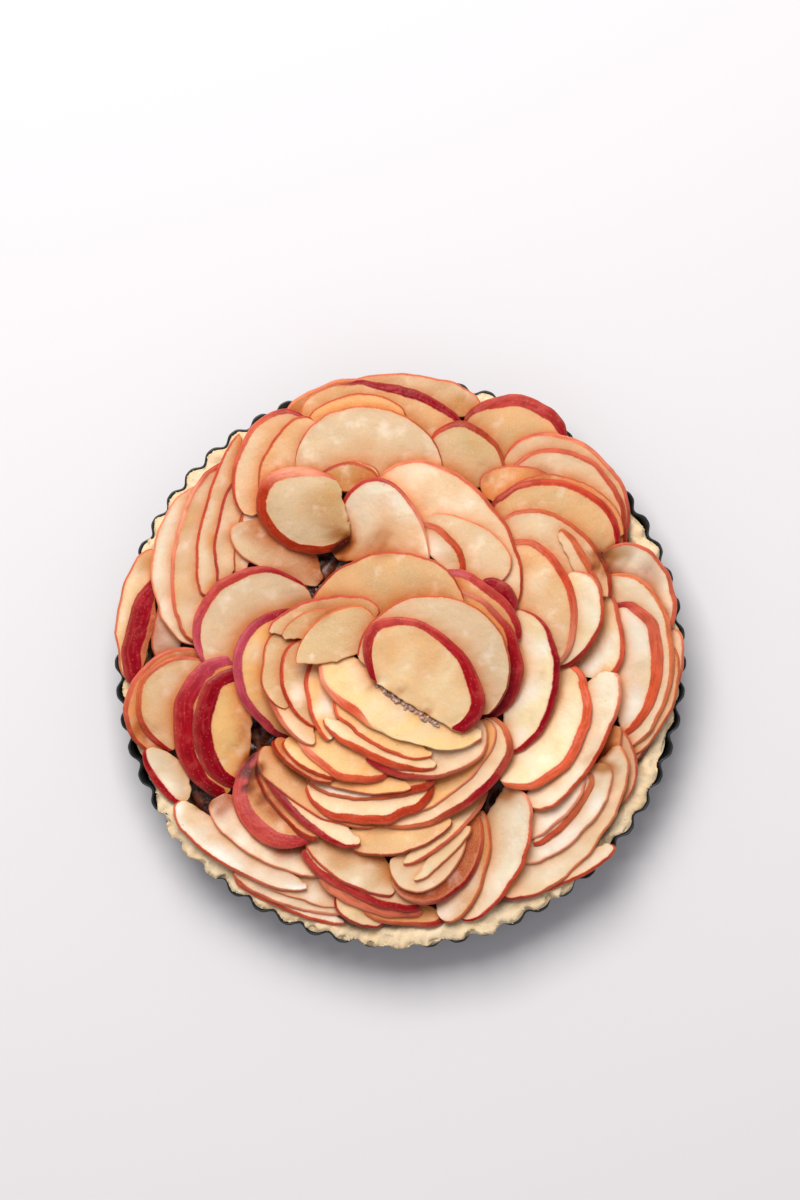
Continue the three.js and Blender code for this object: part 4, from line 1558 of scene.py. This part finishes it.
        Cut((-50, 2), (-58, -16), (-38, -36), (3, 2.4, 1.3), (F.CREAM, F.OAT), (S.CRIMSON, S.BLUSH)),
        Cut((-42, 22), (-60.5, 3), (-50, -20), (1,), (F.BISCUIT, F.HONEY), (S.RED,)),
        Cut((-38, 12), (-53, -7), (-34, -29), (1.3, 1.8, 1.8), (F.BISCUIT, F.WHITE), (S.RED,)),
        Cut((-34, 3), (-42, -10), (-32, -34), (2.2, 2, 2.4),
            (F.LEMON, F.WHITE), (S.RED, S.FLAME), back=6),
    ],
    "slice_rose_4": [
        Cut((36, -25), (22, -49), (-16, -41), (1, 1.7, 5), (F.CREAM, F.WHITE), (S.BLUSH, S.CRIMSON)),
        Cut((-34, -24), (-10, -43.5), (16, -44), (1.3, 3.4, 1.3), (F.SHELL,), (S.FLAME, S.RED)),
        Cut((-27, -12), (-18, -32), (14, -41), (1.5, 1.8, 1.5), (F.LEMON,), (S.FLAME,)),
    ],
    "slice_rose_5": [
        Cut((-33, 4), (-13, -28), (36, -33), (1.8, 2.2, 4.2, 0.45, 0.45, 2.2),
            (F.LEMON, F.CREAM), (S.RED, S.PEACH, S.FLAME, S.TORN, S.TORN, S.FLAME), back=7),
    ],
    "slice_centre_west": [
        Cut((-58, 14), (-32, 29.5), (-9, 22), (1.3, 1.3, 1), (F.BISCUIT,), (S.RUST,)),
        Cut((-52, 12), (-30, 25), (-10, 16), (0.8,), (F.BISCUIT, F.CREAM), (S.ORANGE,)),
        Cut((-46, 1), (-25, 25), (-8, 9), (0.8,), (F.BISCUIT,), (S.ORANGE,)),
    ],
    "slice_centre_ring_2": [
        Cut((-19, 3), (28, 27), (39, -22), (1, 0.8, 0.9),
            (F.SAND,), (S.RUST, S.RED, S.RED, S.GARNET), back=4, cut=-20),
    ],
    "slice_centre_disc": [
        Cut((-13, -6.5), (15.2, 15.6), (26.4, -30.4), (5.5, 5.8, 4.4, 3.3, 4.2, 6, 7.5, 14),
            (F.OAT, F.SHELL), (S.GARNET, S.RUST, S.CRIMSON, S.GARNET), back=0.6, cut=-41),
    ],
}


@dataclass
class AppleRose:
    """The mound of slices: settles them one by one and dresses each stack."""

    ground: Ground
    cutter: SliceCutter = field(default_factory=SliceCutter)

    def build(self, finish: bpy.types.Material) -> list[LaidSlice]:
        """Make one piece for each stack.

        Args:
            finish: the baked apple.

        Returns:
            All slices, lowest first.
        """
        laid: list[LaidSlice] = []
        stacks: dict[str, list[LaidSlice]] = {}
        for name, cuts in STACKS.items():
            stacks[name] = [LaidSlice(cut) for cut in cuts]
            for slice_ in stacks[name]:
                slice_.settle(laid, stacks[name], self.ground)
                laid.append(slice_)
        number = 0
        for name, stack in stacks.items():
            shell = Shell()
            for slice_ in stack:
                number += 1
                self.cutter.add(slice_, laid[number:], shell, seed=number)
            mesh = shell.mesh(name.replace("slice_", "apple_"))
            cut_map(mesh)
            made = piece(mesh.name, mesh, finish)
            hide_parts(name)
        return laid


@dataclass
class PastryCase:
    """The shortcrust case, fluted by the tin, broken along its rim and sloping in to the filling.

    Attributes:
        around: mesh steps round the case.
        flutes: flutes of the tin.
        flute_depth: depth of a flute.
        foot: radius at the foot, over the flutes.
        wall: radius at the tin's rim, over the flutes.
        floor: radius where the inner face meets the floor.
        base: height of the foot, on the tin's floor.
        floor_top: height of the floor's upper face.
        tin_rim: height at which the pastry leaves the tin.
        sag: how far the rim sinks for each millimetre that it shrank.
        crumb_mm: how rough the broken rim is.
        shrunk: stretches that shrank from the tin: middle and half width in degrees, and how far.
    """

    ground: Ground
    around: int = 1080
    flutes: int = FLUTES
    flute_depth: float = FLUTE_DEPTH
    foot: float = 117.0
    wall: float = 123.5
    floor: float = 103.0
    base: float = 1.35
    floor_top: float = 4.8
    tin_rim: float = 28.2
    sag: float = 0.9
    crumb_mm: float = 0.38
    shrunk: tuple[tuple[float, float, float], ...] = (
        (113, 6, 3.0),
        (32, 5, 2.4),
        (0, 7, 1.6),
        (-17, 7, 2.4),
        (-43, 4, 3.0),
        (190, 8, 1.8),
        (203, 8, 3.0),
        (-91, 9, -1.6),
        (-72, 5, -1.2),
        (-55, 5, -0.8),
    )

    def gap(self, angle: np.ndarray) -> np.ndarray:
        """Work out how far the rim has shrunk from the tin.

        Args:
            angle: angles round the case.

        Returns:
            The gap at each angle, less than 0 where the pastry hangs over.
        """
        total = 0 * angle
        for middle, width, depth in self.shrunk:
            turn = np.degrees(angle) - middle
            turn = (turn + 180) % 360 - 180
            total = total + depth * np.exp(-((turn / width) ** 2))
        return total

    def profile(self, angle: np.ndarray) -> list[tuple[np.ndarray, np.ndarray, float]]:
        """Return the case's rows from the outer foot over the rim to the inner floor.

        Args:
            angle: angles round the case.

        Returns:
            Radius, height and brokenness of each row.
        """
        wave = flute(angle, self.flutes)
        gap = self.gap(angle)
        shrunk = np.clip(gap, 0, 3)
        sunk = self.sag * shrunk
        lip = self.ground.lip(angle) - gap
        top = self.ground.rim(angle) - sunk
        slack = np.clip(1 - 0.25 * np.abs(gap), 0.3, 1)
        inner = self.ground.inner_rim + 1.2 * np.sin(7 * angle + 1) + 0.6 * np.sin(17 * angle)
        rows = []
        for share in (0.0, 0.35, 0.7, 1.0):
            depth = self.flute_depth * wave * (1 - (1 - slack) * share**2)
            radius = self.foot + (self.wall - self.foot) * share - depth - shrunk * share**2
            height = self.base + (self.tin_rim - self.base) * share - sunk * share**2
            rows.append((radius, height, 0.0))
        over = self.wall + lip - 0.1 - self.flute_depth * 0.85 * wave * slack
        edge = self.tin_rim + 0.3 - sunk
        rows.append((over, edge, 0.4))
        rows.append((over - 0.1, edge + 0.45 * (top - edge), 1.0))
        rows.append((over - 0.6, top - 0.35, 1.0))
        for share in (0.0, 0.2, 0.4, 0.6, 0.8, 1.0):
            radius = over - 1.3 + (inner - over + 1.3) * share
            rows.append((radius, top + 0.5 * math.sin(math.pi * share) - 0.8 * share, 0.5 - 0.4 * share))
        for share in (0.12, 0.28, 0.45, 0.7, 1.0):
            radius = inner + (self.floor - inner) * share
            rows.append((radius, (top - 0.8) * (1 - share) + self.floor_top * share, 0.0))
        return rows

    def build(self, finish: bpy.types.Material) -> None:
        """Make the case and its crumbs, and hide the part that it takes the place of.

        Args:
            finish: the pastry.
        """
        angle = np.linspace(0, 2 * math.pi, self.around, endpoint=False)
        rows = self.profile(angle)
        points, broken = [], []
        coarse, fine = Ripple(41, 6.0), Ripple(43, 2.2, 14)
        chips = Ripple(47, 9.0, 14)
        for radius, height, state in rows:
            flat = circle(radius, angle, height)
            rough = 0.15 + state
            shift = coarse.at(flat) * 0.3 * rough + fine.at(flat) * self.crumb_mm * 0.6 * rough
            chip = np.clip(chips.at(flat) - 0.7, 0, 1) * state * 2.2
            inside = 1.0 if height.mean() > self.tin_rim - 0.1 else 0.0
            moved = radius + (shift - chip) * inside * (1.0 if state > 0.3 else 0.4)
            uneven = coarse.at(flat + 50) * 0.35 + fine.at(flat + 90) * 0.16
            points.append(circle(moved, angle, height + uneven * inside - 0.5 * chip * inside))
            broken.append(np.full(self.around, state))
        points.append(np.array(((0, 0, self.floor_top), (0, 0, self.base))))
        broken.append(np.zeros(2))
        faces = capped_loft(len(rows), self.around)
        shell = Shell()
        shell.add(np.concatenate(points), faces, broken=np.concatenate(broken))
        made = piece("shortcrust_case", shell.mesh("shortcrust_case"), finish)
        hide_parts("pastry_case")
        PastryCrumbs().build(made.data, finish)


@dataclass
class PastryCrumbs:
    """Crumbs that broke off the pastry's rim and lie on it.

    Attributes:
        crumb_mm: radius of the largest crumb.
        per_mm2: crumbs on each square millimetre of broken rim.
    """

    crumb_mm: float = 0.5
    per_mm2: float = 0.10

    def build(self, rim: bpy.types.Mesh, finish: bpy.types.Material) -> None:
        """Scatter the crumbs.

        Args:
            rim: the pastry's mesh, whose "broken" value says where crumbs lie.
            finish: the pastry.
        """
        shape = NodeShape(
            "scattered_crumbs",
            Crumb_Radius=self.crumb_mm * MM,
            Crumbs_per_Square_Metre=self.per_mm2 / MM**2,
            Seed=11,
        )
        tree, entry = shape.tree, shape.entry
        broken = add_node(tree, "GeometryNodeInputNamedAttribute", {"Name": "broken"}, data_type="FLOAT")
        density = add_node(
            tree, "ShaderNodeMath", {0: broken.outputs[0], 1: entry["Crumbs per Square Metre"]},
            operation="MULTIPLY",
        )
        points = add_node(
            tree, "GeometryNodeDistributePointsOnFaces",
            {"Mesh": entry["Geometry"], "Density": density.outputs[0], "Seed": entry["Seed"]},
        )
        crumbs = shape.scatter(points.outputs["Points"], entry["Crumb Radius"], 0.7)
        mesh = shape.mesh("pastry_crumbs", rim.copy(), crumbs, finish)
        piece("pastry_crumbs", mesh, finish)


@dataclass
class SyrupBeads:
    """The line of dried syrup bubbles along the straight edge of the slice on top.

    Attributes:
        route: the line in plan, in millimetres.
        bead_mm: radius of the largest bead.
        spacing_mm: distance from one bead to the next along the line.
        stray_mm: how far a bead lies off the line at most.
        lift_mm: how high the beads' middles lie over the slice.
    """

    route: tuple[Point, ...] = ((-10, -9.9), (-4, -13.9), (4.7, -19.5), (10.3, -23), (16.2, -26.3))
    bead_mm: float = 1.35
    spacing_mm: float = 0.52
    stray_mm: float = 1.1
    lift_mm: float = 0.25

    def build(self, below: LaidSlice, finish: bpy.types.Material) -> None:
        """Lay the beads on a slice.

        Args:
            below: the slice that they lie on.
            finish: the dried syrup.
        """
        shape = NodeShape(
            "row_of_beads",
            Bead_Radius=self.bead_mm * MM,
            Spacing=self.spacing_mm * MM,
            Stray=self.stray_mm * MM,
        )
        tree, entry = shape.tree, shape.entry
        spaced = add_node(
            tree, "GeometryNodeResampleCurve", {"Curve": entry["Geometry"], "Length": entry["Spacing"]},
            mode="LENGTH",
        )
        points = add_node(tree, "GeometryNodeCurveToPoints", {"Curve": spaced.outputs[0]}, mode="EVALUATED")
        aside = add_node(
            tree, "FunctionNodeRandomValue", {0: (-1.0, -1.0, 0.0), 1: (1.0, 1.0, 0.3), "Seed": 7},
            data_type="FLOAT_VECTOR",
        )
        stray = add_node(
            tree, "ShaderNodeVectorMath", {0: aside.outputs[0], "Scale": entry["Stray"]}, operation="SCALE"
        )
        moved = add_node(
            tree, "GeometryNodeSetPosition", {"Geometry": points.outputs[0], "Offset": stray.outputs[0]}
        )
        beads = shape.scatter(moved.outputs[0], entry["Bead Radius"], 0.8)
        plan = np.array(self.route, float)
        line = polyline("syrup_line", np.column_stack((plan, below.top(plan) + self.lift_mm)))
        mesh = shape.mesh("syrup_beads", line, beads, finish)
        mesh.shade_smooth()
        piece("syrup_beads", mesh, finish)


@dataclass
class Filling:
    """The dark filling under the slices, lumpy and shiny where gaps show it.

    Attributes:
        around: mesh steps round it.
        rings: mesh steps from the axis out.
        lump_mm: height of its lumps.
        foot: radius at its foot.
        base: height of its foot, on the pastry's floor.
        sunk: how far its middle sinks.
    """

    ground: Ground
    around: int = 220
    rings: int = 60
    lump_mm: float = 0.9
    foot: float = 102.6
    base: float = 5.2
    sunk: float = 0.5

    def build(self, finish: bpy.types.Material) -> None:
        """Make the filling and hide the part that it takes the place of.

        Args:
            finish: the sticky filling.
        """
        angle = np.linspace(0, 2 * math.pi, self.around, endpoint=False)
        lumps, grain = Ripple(61, 9.0), Ripple(67, 3.0)
        rows = [circle(self.foot, angle, self.base)]
        for share in np.linspace(1, 1 / self.rings, self.rings):
            r = self.ground.filling_radius * share
            flat = circle(r, angle)
            uneven = self.lump_mm * (0.6 * lumps.at(flat) + 0.4 * grain.at(flat) - 0.6)
            flat[:, 2] = self.ground.filling(np.array(r)) + uneven * min(1, (1 - share) * 12)
            rows.append(flat)
        peak = float(self.ground.filling(np.array(0.0))) - self.sunk
        points = np.concatenate([*rows, np.array(((0, 0, peak), (0, 0, self.base)))])
        shell = Shell()
        shell.add(points, capped_loft(len(rows), self.around))
        made = piece("sticky_filling", shell.mesh("sticky_filling"), finish)
        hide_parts("filling")


@dataclass
class TartTin:
    """The fluted tin: a wall section swept round a circle and pushed in to flutes, and a flat floor.

    Attributes:
        crest: radius over the flutes at the rim.
        draft: how much smaller it is at the floor.
        height: height of the rim.
        wall: thickness of the wall.
        flutes: number of flutes.
        flute_depth: depth of a flute.
        floor: thickness of the floor.
        steps: mesh steps round each flute.
    """

    crest: float = 125.0
    draft: float = 6.5
    height: float = 28.0
    wall: float = 1.1
    flutes: int = FLUTES
    flute_depth: float = FLUTE_DEPTH
    floor: float = 1.0
    steps: int = 18

    def section(self) -> bpy.types.Curve:
        """Draw the wall's cross-section, x out from the axis and y down, both from the crest's rim.

        Returns:
            The closed curve.
        """
        corners = [(0.0, 0.35), (-0.25, 0.08), (-self.wall / 2, 0.0), (0.25 - self.wall, 0.08)]
        corners += [(-self.wall, 0.35), (-self.wall - self.draft, self.height), (-self.draft, self.height)]
        return polyline("tin_section", [(out, down, 0.0) for out, down in corners], cyclic=True)

    def wall_mesh(self, finish: bpy.types.Material) -> bpy.types.Mesh:
        """Sweep the section round a circle and push it in to flutes.

        Args:
            finish: the tin's finish.

        Returns:
            The wall as a plain mesh.
        """
        shape = NodeShape(
            "fluted_wall",
            Crest_Radius=self.crest * MM,
            Rim_Height=self.height * MM,
            Flutes=float(self.flutes),
            Flute_Depth=self.flute_depth * MM,
            Steps=self.flutes * self.steps,
        )
        tree, entry = shape.tree, shape.entry
        path = add_node(
            tree, "GeometryNodeCurvePrimitiveCircle",
            {"Resolution": entry["Steps"], "Radius": entry["Crest Radius"]},
        )
        lift = add_node(tree, "ShaderNodeCombineXYZ", {"Z": entry["Rim Height"]})
        raised = add_node(
            tree, "GeometryNodeSetPosition", {"Geometry": path.outputs["Curve"], "Offset": lift.outputs[0]}
        )
        upright = add_node(tree, "GeometryNodeSetCurveNormal", {"Curve": raised.outputs[0]}, mode="Z_UP")
        swept = add_node(
            tree, "GeometryNodeCurveToMesh",
            {"Curve": upright.outputs[0], "Profile Curve": entry["Geometry"]},
        )
        place = add_node(tree, "GeometryNodeInputPosition").outputs[0]
        x, y, _ = add_node(tree, "ShaderNodeSeparateXYZ", {0: place}).outputs
        # From the angle to the flute's depth there, less than 0 because it goes in
        depth = y
        for operation, *others in (
            ("ARCTAN2", x),
            ("MULTIPLY", entry["Flutes"]),
            ("COSINE",),
            ("MULTIPLY_ADD", -0.5, 0.5),
            ("POWER", FLUTE_SHARPNESS),
            ("MULTIPLY", entry["Flute Depth"]),
            ("MULTIPLY", -1.0),
        ):
            numbers = dict(enumerate((depth, *others)))
            depth = add_node(tree, "ShaderNodeMath", numbers, operation=operation).outputs[0]
        flat = add_node(tree, "ShaderNodeCombineXYZ", {"X": x, "Y": y}).outputs[0]
        outward = add_node(tree, "ShaderNodeVectorMath", {0: flat}, operation="NORMALIZE").outputs[0]
        push = add_node(tree, "ShaderNodeVectorMath", {0: outward, "Scale": depth}, operation="SCALE")
        fluted = add_node(
            tree, "GeometryNodeSetPosition", {"Geometry": swept.outputs[0], "Offset": push.outputs[0]}
        )
        return shape.mesh("fluted_wall", self.section(), fluted.outputs[0], finish)

    def floor_plate(self) -> bpy.types.Mesh:
        """Make the floor plate, which ends in the middle of the wall at its foot.

        Returns:
            The plate's mesh.
        """
        angle = np.linspace(0, 2 * math.pi, self.flutes * self.steps, endpoint=False)
        trough = self.flute_depth * flute(angle, self.flutes)
        radius = self.crest - self.draft - self.wall / 2 - trough
        lower = [(3.0, 0.0), (0.3, 0.0), (0.0, 0.3)]
        upper = [(inset, self.floor - height) for inset, height in reversed(lower)]
        rows = [circle(radius - inset, angle, height) for inset, height in lower + upper]
        shell = Shell()
        shell.add(np.concatenate(rows), loft(len(rows), len(angle), True))
        return shell.mesh("floor_plate")

    def build(self, finish: bpy.types.Material) -> None:
        """Make the tin and hide the part that it takes the place of.

        Args:
            finish: the tin's finish.
        """
        wall = self.wall_mesh(finish)
        wall.shade_smooth()
        wall_made = piece("fluted_tin_wall", wall, finish)
        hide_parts("tart_tin")
        floor_made = piece("fluted_tin_floor", self.floor_plate(), finish)
        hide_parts("tart_tin")


@dataclass
class Studio:
    """Floor, light and the camera that looks straight down, as the photograph does.

    Attributes:
        camera_distance: from the tin's rim to the camera, in metres.
        rim_height: height of the rim, in metres.
        tin_width: width of the tin over its crests, in metres.
        sensor_mm: width of the camera's sensor.
        sky_strength: strength of the plain sky.
    """

    camera_distance: float = 3.0
    rim_height: float = 28.0 * MM
    tin_width: float = 0.250
    sensor_mm: float = 36.0
    sky_strength: float = 0.405

    def floor(self) -> None:
        """Lay the plain pale floor."""
        finish = Finish("pale_floor").made(Base_Color="#E5E3E6", Roughness=0.9, Specular_IOR_Level=0.1)
        mesh = bpy.data.meshes.new("floor")
        side, depth = 3.0, 0.2 * MM
        corners = [(x * side, y * side, -depth) for x, y in ((-1, -1), (1, -1), (1, 1), (-1, 1))]
        mesh.from_pydata(corners, [], [(0, 1, 2, 3)])
        mesh.materials.append(finish)
        made = bpy.data.objects.new("floor", mesh)
        bpy.context.scene.collection.objects.link(made)

    def lamp(
        self, name: str, place: tuple[float, float, float], size: float, power: float, tone: str
    ) -> None:
        """Hang a square soft light that looks at the tart.

        Args:
            name: the light's name.
            place: where it hangs, in metres.
            size: its side.
            power: its power in watts.
            tone: its colour.
        """
        light = bpy.data.lights.new(name, "AREA")
        light.shape = "SQUARE"
        light.size = size
        light.energy = power
        light.color = linear(tone)[:3]
        made = bpy.data.objects.new(name, light)
        made.location = place
        target = np.array((0, 0, 0.03)) - np.array(place)
        yaw = math.atan2(target[1], target[0])
        tilt = math.atan2(math.hypot(target[0], target[1]), -target[2])
        made.rotation_euler = (tilt, 0, yaw - math.pi / 2)
        bpy.context.scene.collection.objects.link(made)

    def camera(self) -> None:
        """Set the camera over the photograph's middle, looking down with the rose's top up."""
        scale = self.tin_width / RIM_WIDTH_PIXELS
        data = bpy.data.cameras.new("camera")
        data.sensor_width = self.sensor_mm
        data.lens = self.sensor_mm * self.camera_distance / (PHOTO_HEIGHT * scale)
        data.clip_end = 20
        made = bpy.data.objects.new("camera", data)
        x = (PHOTO_WIDTH / 2 - RIM_CENTRE_PIXEL[0]) * scale
        y = (RIM_CENTRE_PIXEL[1] - PHOTO_HEIGHT / 2) * scale
        made.location = (x, y, self.rim_height + self.camera_distance)
        bpy.context.scene.collection.objects.link(made)
        bpy.context.scene.camera = made

    def build(self) -> None:
        """Set up the floor, the lights, the sky and the camera."""
        self.floor()
        self.lamp("window", (-0.28, 1.0, 1.6), 1.1, 38, "#FFFCF8")
        world = bpy.data.worlds.new("studio")
        world.use_nodes = True
        feed(world.node_tree.nodes["Background"], {"Color": "#F3F2F6", "Strength": self.sky_strength})
        bpy.context.scene.world = world
        bpy.context.scene.view_settings.view_transform = "Standard"
        self.camera()


def main() -> None:
    """Build the tart, its finishes and the studio."""
    logging.basicConfig(level=logging.INFO, format="%(name)s: %(message)s")
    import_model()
    ground = Ground()
    TartTin().build(NonStickSteel().make())
    PastryCase(ground).build(Shortcrust().make())
    Filling(ground).build(StickyFilling().make())
    slices = AppleRose(ground).build(BakedApple().make())
    long_slice = next(slice_ for slice_ in slices if slice_.cut is STACKS["slice_rose_5"][0])
    SyrupBeads().build(long_slice, FoamedSyrup().make())
    Studio().build()


if __name__ == "__main__":
    main()
